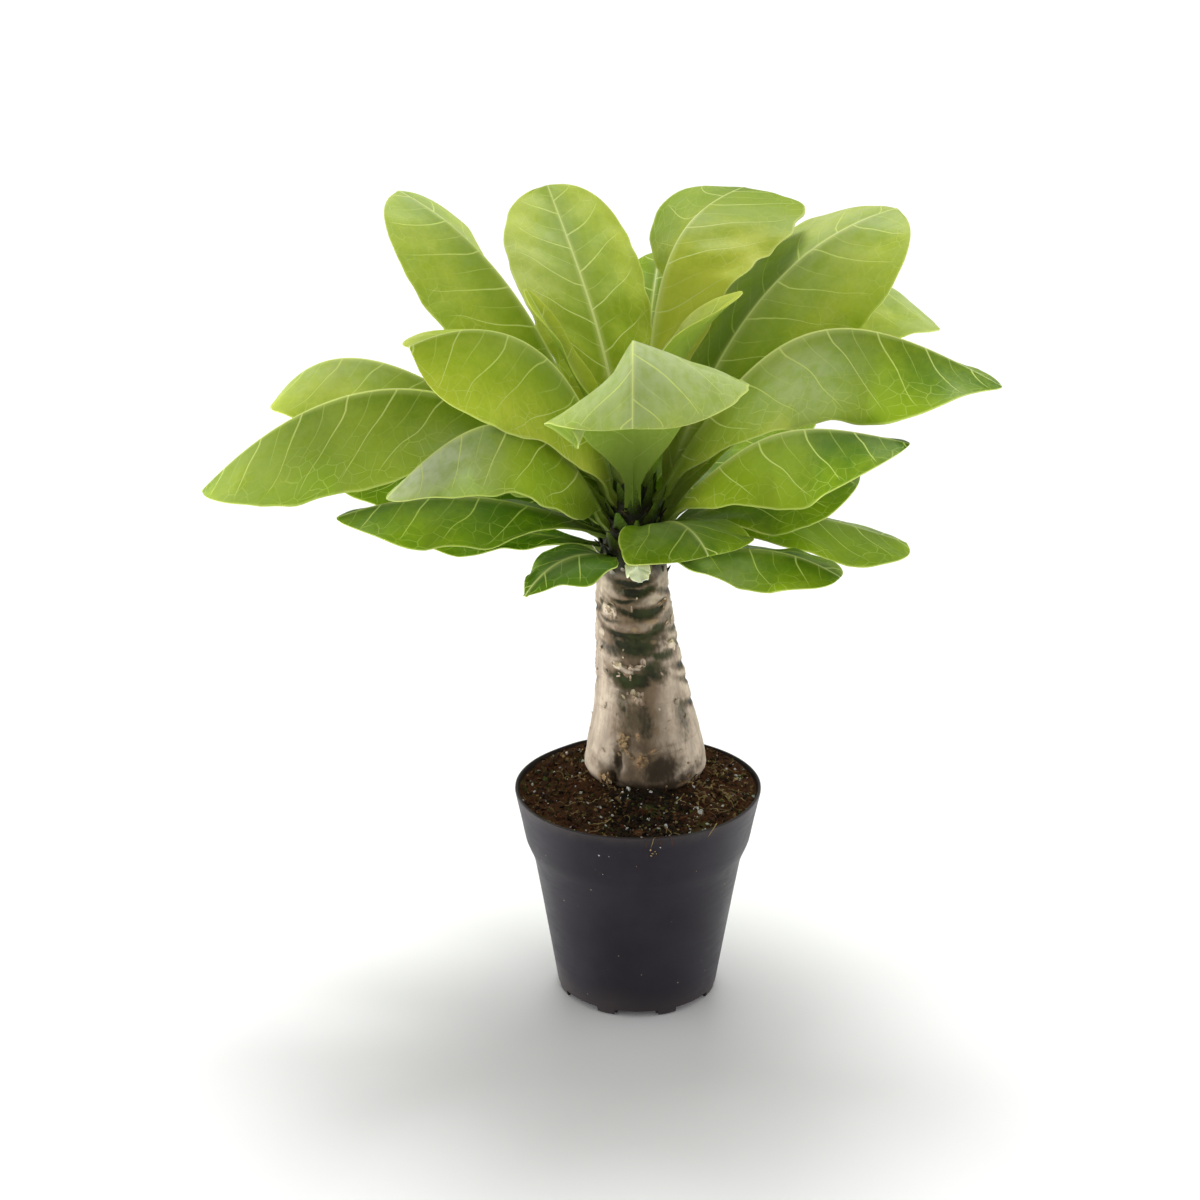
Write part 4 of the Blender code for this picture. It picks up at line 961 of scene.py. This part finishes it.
def makeSoilLitter():
    draw = random.Random(5)
    matte = makeLitterMaterial("peatCrumb", 0.88, 0.6)
    grains = [modelGrain(1, 0.9, 3.0 * i) for i in range(4)]
    crumbs = Litter("peatCrumbs")
    sideKinds = ["peat", "peat", "brown", "brown", "brown", "red", "red", "moss", "tan"]
    middleKinds = ["peat", "black", "black", "black", "brown", "peat", "moss", "black"]
    for _ in range(soilSet["crumbs"]):
        x, y = soilSpot(draw)
        size = draw.choice((0.35, 0.5, 0.5, 0.7, 0.9, 1.3)) * draw.uniform(0.8, 1.2)
        kind = draw.choice(middleKinds if abs(x - 4.0) < 15.0 + draw.uniform(-4, 4) else sideKinds)
        if noise.noise(Vector((x, y, 8.0)) / 11.0) > 0.16 and draw.random() < 0.5:
            kind = "tan"
        dropGrain(crumbs, draw.choice(grains), onSoil(x, y, 0.2 * size), size * mm, draw,
                  shade(soilColours[kind], draw, 0.4))
    for _ in range(soilSet["chips"]):
        x, y = soilSpot(draw, 57.5, 35.0)
        size = draw.uniform(1.4, 2.6)
        dropGrain(crumbs, draw.choice(grains), onSoil(x, y, 0.1), size * mm, draw,
                  shade(soilColours[draw.choice(("brown", "red", "peat"))], draw, 0.3), 0.4)
    crumbs.finish(matte, "soil_peat")

    white = makeLitterMaterial("perliteGrain", 0.75, 0.4)
    perlite = Litter("perlite")
    for _ in range(soilSet["perlite"]):
        x, y = soilSpot(draw)
        size = draw.choice((0.35, 0.45, 0.55, 0.7, 0.9)) * draw.uniform(0.8, 1.15)
        colour = shade((0.93, 0.92, 0.88), draw, 0.06)
        dropGrain(perlite, draw.choice(grains), onSoil(x, y, 0.35 * size + 0.15), size * mm, draw, colour, 0.9)
    # the grains that stand out in front of the trunk
    for x, y, size in ((-5.0, -13.0, 1.7), (-13.5, -20.0, 0.9), (-26.0, -22.0, 0.7), (20.0, -22.0, 0.9),
                       (27.0, -24.0, 1.0), (32.0, -30.0, 1.3), (30.0, -26.0, 0.9), (-13.0, -34.0, 0.9),
                       (-19.0, -37.0, 0.8), (6.0, -39.0, 0.8), (-34.0, -33.0, 0.7), (12.0, -37.0, 0.8)):
        dropGrain(perlite, grains[1], onSoil(x, y, 0.5 * size), size * mm, draw, (0.86, 0.84, 0.78), 0.95)
    perlite.finish(white, "soil_peat")

    threads = Litter("peatFibres")
    for _ in range(soilSet["fibres"]):
        right = draw.random() < 0.45
        x, y = (draw.uniform(28, 56), draw.uniform(-30, 30)) if right else soilSpot(draw)
        if math.hypot(x, y) > 60.5 or math.hypot(x - 4.0, y - 18.0) < 31.0:
            continue
        heading, bend = draw.uniform(0, fullTurn), draw.uniform(-0.5, 0.5)
        reach, count = draw.uniform(0.7, 2.4), draw.randint(3, 7)
        points = []
        for i in range(count + 1):
            if math.hypot(x, y) > 61.5:
                break
            points.append(onSoil(x, y, 0.35 + 0.9 * math.sin(math.pi * i / count) * draw.uniform(0.3, 1.2)))
            x += math.cos(heading) * reach
            y += math.sin(heading) * reach
            heading += bend + draw.uniform(-0.25, 0.25)
        if len(points) > 2:
            kind = draw.choice(("straw", "tan", "tan", "brown", "red"))
            layFibre(threads, points, draw.uniform(0.12, 0.38) * mm, shade(soilColours[kind], draw, 0.3))
    # a tuft of straw lies at the right of the trunk's foot
    for _ in range(soilSet["straws"]):
        x, y = 37.0 + draw.gauss(0, 6.5), -6.0 + draw.gauss(0, 9.0)
        if math.hypot(x, y) > 59.0 or math.hypot(x - 4.0, y - 18.0) < 29.5:
            continue
        heading = draw.uniform(0, fullTurn)
        points = []
        for i in range(4):
            points.append(onSoil(x, y, 0.5 + 1.6 * math.sin(math.pi * i / 3) * draw.random()))
            x += 1.1 * math.cos(heading)
            y += 1.1 * math.sin(heading)
            heading += draw.uniform(-0.9, 0.9)
        layFibre(threads, points, draw.uniform(0.4, 0.95) * mm, shade(soilColours[draw.choice(("straw", "tan", "red", "brown"))], draw, 0.3))
    threads.finish(matte, "soil_peat")
    return matte


makeSoil()
litterMatte = makeSoilLitter()


# ---- flakes and shreds on the trunk, and the old leaf bases round its crown
def onTrunk(turn, height, lift):
    middle = trunkMiddle(height)
    radius = (alongTable(trunkOutline, height) + lift) * mm
    angle = math.radians(turn)
    return Vector((middle.x + radius * math.cos(angle), middle.y + radius * math.sin(angle), height * mm))


flakeList = [
    # turn, height, length, half width, lean from upright in degrees, how far the free end lifts
    (-131, 213.6, 6.0, 2.4, 12, 1.3), (-118, 212.0, 5.4, 0.8, -6, 1.1), (-119, 184.2, 6.2, 2.0, 78, 0.8),
    (-103, 181.4, 6.5, 1.9, 40, 0.9), (-90, 183.8, 5.6, 1.2, 50, 1.1), (-82, 187.0, 4.2, 0.9, 4, 1.1),
    (-101, 178.2, 3.4, 0.6, 8, 0.8), (-92, 215.4, 3.6, 0.5, 0, 0.8), (-33, 193.0, 5.2, 2.3, 40, 0.9),
    (-38, 216.8, 5.0, 0.9, 55, 0.9), (-43, 162.6, 3.4, 1.5, 30, 0.8), (-99, 170.6, 4.0, 1.4, 20, 1.2),
    (-91, 165.6, 5.0, 1.5, -35, 1.4), (-97, 166.2, 4.4, 1.1, 30, 1.2), (-88, 169.4, 3.4, 1.0, 10, 1.2),
    (-114, 146.0, 5.0, 1.3, 12, 1.4), (-112, 141.0, 6.5, 1.1, 28, 1.6), (-108, 138.0, 5.5, 0.8, -30, 1.5),
    (-97, 146.6, 4.2, 1.1, 0, 0.7), (-86, 138.6, 8.5, 0.7, 62, 0.9), (-96, 135.0, 5.0, 1.2, 20, 1.2),
    (-92, 131.5, 4.0, 1.0, -20, 1.2), (-134, 121.0, 9.0, 1.7, 42, 2.1), (-129, 123.0, 7.5, 1.1, 28, 1.8),
    (-139, 118.5, 5.5, 1.2, 60, 1.6), (-74, 119.5, 5.0, 0.9, 75, 1.2), (-52, 118.5, 5.5, 1.0, 20, 1.8),
    (-44, 116.5, 6.0, 1.0, -40, 2.2), (-33, 118.0, 6.0, 0.9, -20, 1.8), (-150, 190.0, 4.0, 1.0, 30, 0.8),
    (-140, 160.0, 3.5, 0.8, 10, 0.6), (-20, 205.0, 5.0, 1.2, 30, 0.8),
    (20, 196.0, 6.0, 1.4, 60, 1.2), (75, 208.0, 6.0, 1.5, 70, 1.0), (110, 182.0, 7.0, 1.2, 50, 1.2),
    (150, 200.0, 6.0, 1.6, 20, 1.2), (60, 168.0, 5.0, 1.0, 35, 1.0), (135, 138.0, 7.0, 1.0, 30, 1.4),
]


shredKnots = [
    (-94, 167.8, 4.0, 9, "cream"), (-114, 143.0, 4.2, 12, "tan"), (-95, 134.5, 4.6, 12, "tan"),
    (-132, 121.0, 4.5, 14, "tan"), (-104, 182.6, 4.0, 4, "cream"), (-86, 185.0, 3.0, 3, "cream"),
    (-128, 212.5, 3.6, 7, "cream"), (-34, 193.0, 3.0, 3, "cream"), (-37, 217.0, 3.5, 4, "tan"),
    (-52, 118.0, 5.0, 9, "tan"), (-32, 117.0, 6.0, 10, "tan"), (-14, 118.0, 4.0, 5, "tan"),
    (40, 190.0, 5.0, 6, "cream"), (120, 170.0, 5.0, 6, "cream"), (160, 122.0, 5.0, 8, "tan"), (80, 120.0, 5.0, 6, "tan"),
]


def layFlake(litter, turn, height, length, halfWidth, lean, lifted, colours, draw):
    rows = []
    count = 6
    for i in range(count + 1):
        share = i / count
        slant = math.radians(lean)
        along = (share - 0.5) * length
        angle = turn + math.degrees(math.sin(slant) * along / alongTable(trunkOutline, height))
        level = height + math.cos(slant) * along
        lift = 0.25 + lifted * share**2 + draw.uniform(-0.08, 0.08)
        place = onTrunk(angle, level, lift)
        out = Vector((math.cos(math.radians(angle)), math.sin(math.radians(angle)), 0.0))
        round_ = Vector((-out.y, out.x, 0.0))
        side = round_ * math.cos(slant) - Vector((0, 0, 1)) * math.sin(slant)
        wide = halfWidth * (0.35 + 0.65 * math.sin(math.pi * min(1.0, 0.2 + 0.72 * share))) * draw.uniform(0.6, 1.25)
        rows.append((place, side * wide * mm, out * 0.16 * mm, out * 0.1 * wide * mm))
    layScale(litter, rows, colours)


def makeFlakes():
    draw = random.Random(21)
    flakes = Litter("barkFlakes")
    for turn, height, length, halfWidth, lean, lifted in flakeList:
        colour = (0.64, 0.53, 0.38) if height > 150 else (0.44, 0.29, 0.14)
        root = shade((0.26, 0.19, 0.115), draw, 0.3)
        layFlake(flakes, turn, height, length, halfWidth, lean, lifted, (root, shade(colour, draw, 0.15)), draw)
    for _ in range(60):
        turn, height = draw.uniform(-180, 180), draw.uniform(114, 222)
        colour = shade((0.46, 0.37, 0.27) if height > 135 else (0.25, 0.16, 0.09), draw, 0.35)
        layFlake(flakes, turn, height, draw.uniform(1.2, 2.8), draw.uniform(0.3, 0.8), draw.uniform(-60, 90),
                 draw.uniform(0.1, 0.5), (colour, colour), draw)
    # knots of torn shreds: turn, height, spread in millimetres, how many, whether tan or cream
    for turn, height, spread, count, kind in shredKnots:
        for _ in range(count):
            aside = math.degrees(draw.gauss(0, 0.5 * spread) / alongTable(trunkOutline, height))
            colour = (0.42, 0.28, 0.14) if kind == "tan" else (0.58, 0.47, 0.33)
            root = shade((0.20, 0.135, 0.075), draw, 0.35)
            layFlake(flakes, turn + aside, height + draw.gauss(0, 0.5 * spread), draw.uniform(1.8, 4.0),
                     draw.uniform(0.5, 1.3), draw.uniform(-60, 70), draw.uniform(0.3, 1.3),
                     (root, shade(colour, draw, 0.3)), draw)
    flakes.finish(litterMatte, "trunk_bark")



# Old leaf bases, dark and dry, and above them the green bases that the leaves grow from
crownSet = {
    "old": 120, "oldFrom": 228.0, "oldRise": 38.0, "green": 30, "greenFrom": 240.0, "greenRise": 34.0,
}
oldColours = ((0.030, 0.022, 0.012), (0.060, 0.040, 0.020), (0.022, 0.030, 0.010), (0.13, 0.090, 0.045),
              (0.040, 0.052, 0.014))


def layLeafBase(litter, turn, height, length, halfWidth, rise, colours, draw):
    angle = math.radians(turn)
    out = Vector((math.cos(angle), math.sin(angle), 0.0))
    around = Vector((-out.y, out.x, 0.0))
    up = Vector((0, 0, 1))
    place = onTrunk(turn, height, -1.0)
    rows = []
    count = 6
    rise = math.radians(rise)
    for k in range(count + 1):
        share = k / count
        thick = (out * math.sin(rise) - up * math.cos(rise)) * blend(0.55, 0.22, share) * mm
        wide = halfWidth * (1.0 - 0.8 * share**1.6)
        rows.append((place.copy(), around * wide * mm, thick, out * 0.32 * wide * (1.0 - 0.6 * share) * mm))
        place += (out * math.cos(rise) + up * math.sin(rise)) * length / count * mm
        rise += math.radians(draw.uniform(-3, 7))
    layScale(litter, rows, colours)


def makeCrown():
    draw = random.Random(17)
    old = Litter("oldLeafBases")
    for i in range(crownSet["old"]):
        height = crownSet["oldFrom"] + crownSet["oldRise"] * (i / crownSet["old"]) ** 0.85
        turn = 137.5 * i + draw.uniform(-9, 9)
        small = min(1.0, alongTable(trunkOutline, height) / 13.0)
        dry = shade(draw.choice(oldColours), draw, 0.25)
        tip = shade(draw.choice(oldColours), draw, 0.3)
        if height < 240 and 185 < turn % 360 < 262 and draw.random() < 0.5:
            tip = shade((0.46, 0.44, 0.34), draw, 0.15)
        layLeafBase(old, turn, height, draw.uniform(3.5, 9.0), draw.uniform(1.6, 3.4) * small,
                    draw.uniform(38, 70), (dry, tip), draw)
    old.finish(litterMatte, "trunk_bark")
    green = Litter("leafBases")
    for i in range(crownSet["green"]):
        height = crownSet["greenFrom"] + crownSet["greenRise"] * i / crownSet["green"]
        turn = 137.5 * i + 40.0 + draw.uniform(-8, 8)
        small = min(1.0, alongTable(trunkOutline, height) / 12.0)
        # painted shade: each green base is dark at the trunk, in the crown's shade, and greener towards its tip
        root = shade((0.030, 0.042, 0.008), draw, 0.2)
        tip = shade((0.105, 0.175, 0.014), draw, 0.25)
        layLeafBase(green, turn, height, draw.uniform(10.0, 18.0), draw.uniform(3.6, 5.4) * blend(0.6, 1.0, small),
                    draw.uniform(58, 76), (root, tip), draw)
    green.finish(makeLitterMaterial("greenBase", 0.5, 0.2), "leaf_green")


makeFlakes()
makeCrown()


# ---- the pot
potSet = {
    "around": 176, "height": 115.0, "radius": 65.0, "notches": 8, "notchWidth": 23.0, "notchHeight": 3.4,
    "drains": 8, "drainRadius": 3.5, "drainReach": 29.0,
}

# Down the inside from the floor, over the rim and down the outside, in millimetres
potOutline = [
    (0.0, 5.4), (20.0, 5.4), (40.6, 5.4), (41.5, 5.9), (47.2, 40.0), (53.2, 77.4), (54.0, 79.0), (57.4, 84.6),
    (58.2, 87.0), (60.6, 100.0), (62.9, 112.6), (63.3, 114.3), (63.6, 114.85), (64.1, 115.0), (64.6, 114.9),
    (64.95, 114.5), (65.0, 113.9), (64.8, 112.8), (63.9, 108.6), (61.6, 97.6), (60.1, 89.8), (59.6, 87.6),
    (58.9, 85.6), (58.0, 83.4), (57.0, 81.2), (56.1, 79.0), (55.4, 77.0), (54.7, 74.4), (50.7, 52.0), (46.6, 27.0),
    (42.8, 3.4), (42.5, 1.6), (42.1, 0.5), (41.5, 0.0), (39.4, 0.0), (38.8, 3.6), (26.0, 3.6),
    (13.0, 3.6), (12.0, 0.0), (0.0, 0.0),
]


def makePotCutter():
    tools = []
    for i in range(potSet["notches"]):
        angle = fullTurn * i / potSet["notches"]
        clearSelection()
        bpy.ops.mesh.primitive_cube_add(size=1.0, location=(42.0 * mm * math.cos(angle), 42.0 * mm * math.sin(angle), 0))
        block = bpy.context.object
        block.scale = (8.0 * mm, potSet["notchWidth"] * mm, 2.0 * potSet["notchHeight"] * mm)
        block.rotation_euler = (0.0, 0.0, angle)
        tools.append(block)
    for i in range(potSet["drains"]):
        angle = fullTurn * (i + 0.5) / potSet["drains"]
        clearSelection()
        reach = potSet["drainReach"] * mm
        bpy.ops.mesh.primitive_cylinder_add(vertices=24, radius=potSet["drainRadius"] * mm, depth=12.0 * mm,
                                            location=(reach * math.cos(angle), reach * math.sin(angle), 3.6 * mm))
        tools.append(bpy.context.object)
    clearSelection()
    for tool in tools:
        tool.select_set(True)
    bpy.context.view_layer.objects.active = tools[0]
    bpy.ops.object.join()
    return tools[0]


def makePot():
    piece = spinOutline("nurseryPot", potOutline, potSet["around"])
    cutter = makePotCutter()
    cut = piece.modifiers.new("feet", "BOOLEAN")
    cut.operation = "DIFFERENCE"
    cut.solver = "EXACT"
    cut.object = cutter
    applyAll(piece)
    bpy.data.objects.remove(cutter, do_unlink=True)
    # the thin wall is a little out of round, most where it was pressed behind on the left
    for vert in piece.data.vertices:
        turn = math.atan2(vert.co.y, vert.co.x)
        high = ease(40.0, 115.0, vert.co.z / mm)
        push = 0.5 * math.sin(2.0 * turn + 0.7) + 0.25 * math.sin(5.0 * turn)
        away = math.remainder(turn - math.radians(118.0), fullTurn)
        push += 1.1 * math.exp(-(away / 0.16) ** 2)
        push -= 0.6
        flat = Vector((vert.co.x, vert.co.y, 0.0))
        if flat.length > 30.0 * mm:
            vert.co += flat.normalized() * push * high * mm
    piece.data.materials.append(makePotMaterial())
    smoothBy(piece, 35.0)
    return settle(piece, "pot_plastic", "pot")


potFinish = {
    "base": (0.0150, 0.0122, 0.0185, 1), "worn": (0.024, 0.021, 0.029, 1), "dust": (0.20, 0.165, 0.13, 1),
}


def makePotMaterial():
    material, tree, shader = newMaterial("potPlastic", (0.03, 0.028, 0.034))
    place = objectPlace(tree)
    split = put(tree, "ShaderNodeSeparateXYZ", {0: place}).outputs
    cloud = noiseOf(tree, place, 26.0, 4.0, 0.6)
    rubbed = noiseOf(tree, stretched(tree, place, (90.0, 90.0, 420.0)), 1.0, 3.0, 0.6)
    grain = noiseOf(tree, place, 1500.0, 2.0, 0.5)
    colour = mixColours(tree, stepUp(tree, cloud, 0.35, 0.7, 0.0, 0.7), potFinish["base"], potFinish["worn"])
    colour = mixColours(tree, stepUp(tree, rubbed, 0.55, 0.8, 0.0, 0.35), colour, potFinish["worn"])
    low = stepUp(tree, calc(tree, "ADD", split[2], calc(tree, "MULTIPLY", cloud, 0.03)), 0.012, 0.036, 0.14, 0.0)
    colour = mixColours(tree, low, colour, potFinish["dust"])
    rimDust = stepUp(tree, calc(tree, "ADD", split[2], calc(tree, "MULTIPLY", cloud, 0.012)), 0.113, 0.122, 0.0, 0.12)
    colour = mixColours(tree, rimDust, colour, potFinish["dust"])
    specks = placeGroup(tree, speckGroup, Base=colour, Speck=potFinish["dust"], Scale=420.0, Amount=0.012)
    rise = calc(tree, "ADD", calc(tree, "MULTIPLY", grain, 0.5), calc(tree, "MULTIPLY", rubbed, 0.3))
    wire(tree, shader, Base_Color=specks.outputs["Color"],
         Roughness=stepUp(tree, calc(tree, "ADD", cloud, calc(tree, "MULTIPLY", rubbed, 0.4)), 0.4, 1.0, 0.34, 0.56),
         Normal=bumpOf(tree, rise, 0.18, 0.2 * mm), Specular_IOR_Level=0.22)
    return material


def potRadiusAt(height):
    return alongTable([(0.0, 41.9), (77.0, 54.6), (82.6, 57.8), (86.0, 59.4), (111.4, 63.2), (115.0, 65.0)], height)


def makePotCrumbs():
    draw = random.Random(8)
    crumbs = Litter("potCrumbs")
    grains = [modelGrain(1, 0.8, 50.0 + i) for i in range(3)]
    spots = [(-108.5, 103.0, 0.75, "white"), (-103.5, 103.0, 0.3, "white"), (-107.0, 91.5, 0.35, "white"),
             (-79.5, 109.0, 0.45, "white"), (-84.0, 107.8, 0.7, "straw"), (-83.0, 105.8, 0.55, "straw"),
             (-82.0, 106.9, 0.5, "straw"), (-83.6, 104.4, 0.6, "tan"), (-81.2, 105.3, 0.45, "straw"),
             (-90.5, 98.0, 0.3, "tan"), (-60.0, 91.0, 0.3, "tan"), (-93.0, 14.0, 0.3, "white"),
             (-70.0, 60.0, 0.25, "tan"), (-120.0, 70.0, 0.25, "tan"), (-140.0, 98.0, 0.3, "tan")]
    for _ in range(22):
        spots.append((draw.uniform(-180, 180), draw.uniform(15, 110), draw.uniform(0.16, 0.32), "tan"))
    for turn, height, size, kind in spots:
        angle = math.radians(turn)
        radius = (potRadiusAt(height) + 0.1 * size) * mm
        colour = (0.82, 0.80, 0.74) if kind == "white" else soilColours[kind]
        place = Vector((radius * math.cos(angle), radius * math.sin(angle), height * mm))
        dropGrain(crumbs, draw.choice(grains), place, size * mm, draw, shade(colour, draw, 0.15), 0.9)
    # threads that hang over the rim in front
    for turn, sweep, colour in ((-84.0, 5.0, "red"), (-80.0, -4.0, "tan"), (-77.0, 3.0, "red"), (-88.0, 2.0, "red")):
        points = []
        for i in range(8):
            share = i / 7
            angle = math.radians(turn + sweep * share)
            radius = blend(58.5, 65.2, min(1.0, share * 1.5)) - 1.4 * ease(0.72, 1.0, share)
            height = 110.5 + 5.2 * math.sin(min(1.0, share * 1.45) * math.pi / 2) - 6.0 * ease(0.68, 1.0, share)
            points.append(Vector((radius * math.cos(angle), radius * math.sin(angle), height)) * mm)
        layFibre(crumbs, points, 0.2 * mm, shade(soilColours[colour], draw, 0.2))
    straw = [Vector((math.cos(math.radians(a)) * r, math.sin(math.radians(a)) * r, z)) * mm
             for a, r, z in ((-57.0, 65.6, 112.0), (-55.5, 65.4, 113.6), (-53.5, 64.9, 115.4), (-51.0, 63.0, 115.8),
                             (-48.0, 60.4, 114.6), (-45.5, 58.0, 112.4))]
    layFibre(crumbs, straw, 0.28 * mm, soilColours["straw"])
    crumbs.finish(litterMatte, "pot_plastic")


makePot()
makePotCrumbs()
print("pot: shell, feet and dust done")


# ---- floor, light and camera
lightSet = {
    "around": 0.52, "sun": 2.4, "sunFrom": (0.0, 0.54, 1.0), "sunSpread": 30.0,
    "leftPower": 9.0, "rightPower": 5.0, "frontPower": 1.5,
}


def makeStage():
    clearSelection()
    bpy.ops.mesh.primitive_plane_add(size=30.0, location=(0.0, 0.0, -0.0003))
    floor = bpy.context.object
    floor.name = "floor"
    material, tree, shader = newMaterial("paleFloor", (0.9, 0.9, 0.9))
    wire(tree, shader, Base_Color=(0.93, 0.93, 0.93, 1), Roughness=0.9, Specular_IOR_Level=0.1)
    floor.data.materials.append(material)
    # the backdrop is seen as plain white, but gives the plant a softer light
    world = bpy.data.worlds.new("studio")
    bpy.context.scene.world = world
    world.use_nodes = True
    tree = world.node_tree
    soft = tree.nodes["Background"]
    soft.inputs["Color"].default_value = (1.0, 0.995, 0.985, 1.0)
    soft.inputs["Strength"].default_value = lightSet["around"]
    seen = put(tree, "ShaderNodeBackground", {"Color": (1.0, 1.0, 1.0, 1.0), "Strength": 1.0})
    cameraRay = put(tree, "ShaderNodeLightPath").outputs["Is Camera Ray"]
    both = put(tree, "ShaderNodeMixShader", {0: cameraRay, 1: soft.outputs[0], 2: seen.outputs[0]})
    tree.links.new(both.outputs[0], tree.nodes["World Output"].inputs["Surface"])


def addSun(name, comesFrom, strength, spread):
    light = bpy.data.lights.new(name, "SUN")
    light.energy = strength
    light.angle = math.radians(spread)
    sun = bpy.data.objects.new(name, light)
    bpy.context.scene.collection.objects.link(sun)
    sun.rotation_euler = (-Vector(comesFrom)).to_track_quat("-Z", "Y").to_euler()


def addPanel(name, place, aim, wide, tall, power):
    light = bpy.data.lights.new(name, "AREA")
    light.shape = "RECTANGLE"
    light.size = wide
    light.size_y = tall
    light.energy = power
    panel = bpy.data.objects.new(name, light)
    bpy.context.scene.collection.objects.link(panel)
    panel.location = place
    panel.rotation_euler = (Vector(aim) - Vector(place)).to_track_quat("-Z", "Y").to_euler()


def makeCamera():
    camera = bpy.data.cameras.new("camera")
    camera.lens = 77.34
    camera.sensor_width = 36.0
    stand = bpy.data.objects.new("camera", camera)
    bpy.context.scene.collection.objects.link(stand)
    stand.location = (0.0, -1.233, 0.691)
    stand.rotation_euler = (Vector((-0.020, 0.0, 0.219)) - stand.location).to_track_quat("-Z", "Y").to_euler()
    bpy.context.scene.camera = stand


makeStage()
addSun("skylight", lightSet["sunFrom"], lightSet["sun"], lightSet["sunSpread"])
addPanel("leftWall", (-0.95, 0.0, 0.05), (0.0, 0.02, 0.05), 1.0, 0.10, lightSet["leftPower"])
addPanel("rightWall", (0.95, 0.12, 0.07), (0.0, 0.02, 0.07), 0.9, 0.13, lightSet["rightPower"])
addPanel("frontFill", (-0.5, -2.2, 0.42), (0.0, 0.0, 0.25), 1.2, 0.6, lightSet["frontPower"])
makeCamera()
bpy.context.scene.view_settings.view_transform = "Standard"
bpy.context.scene.view_settings.look = "None"
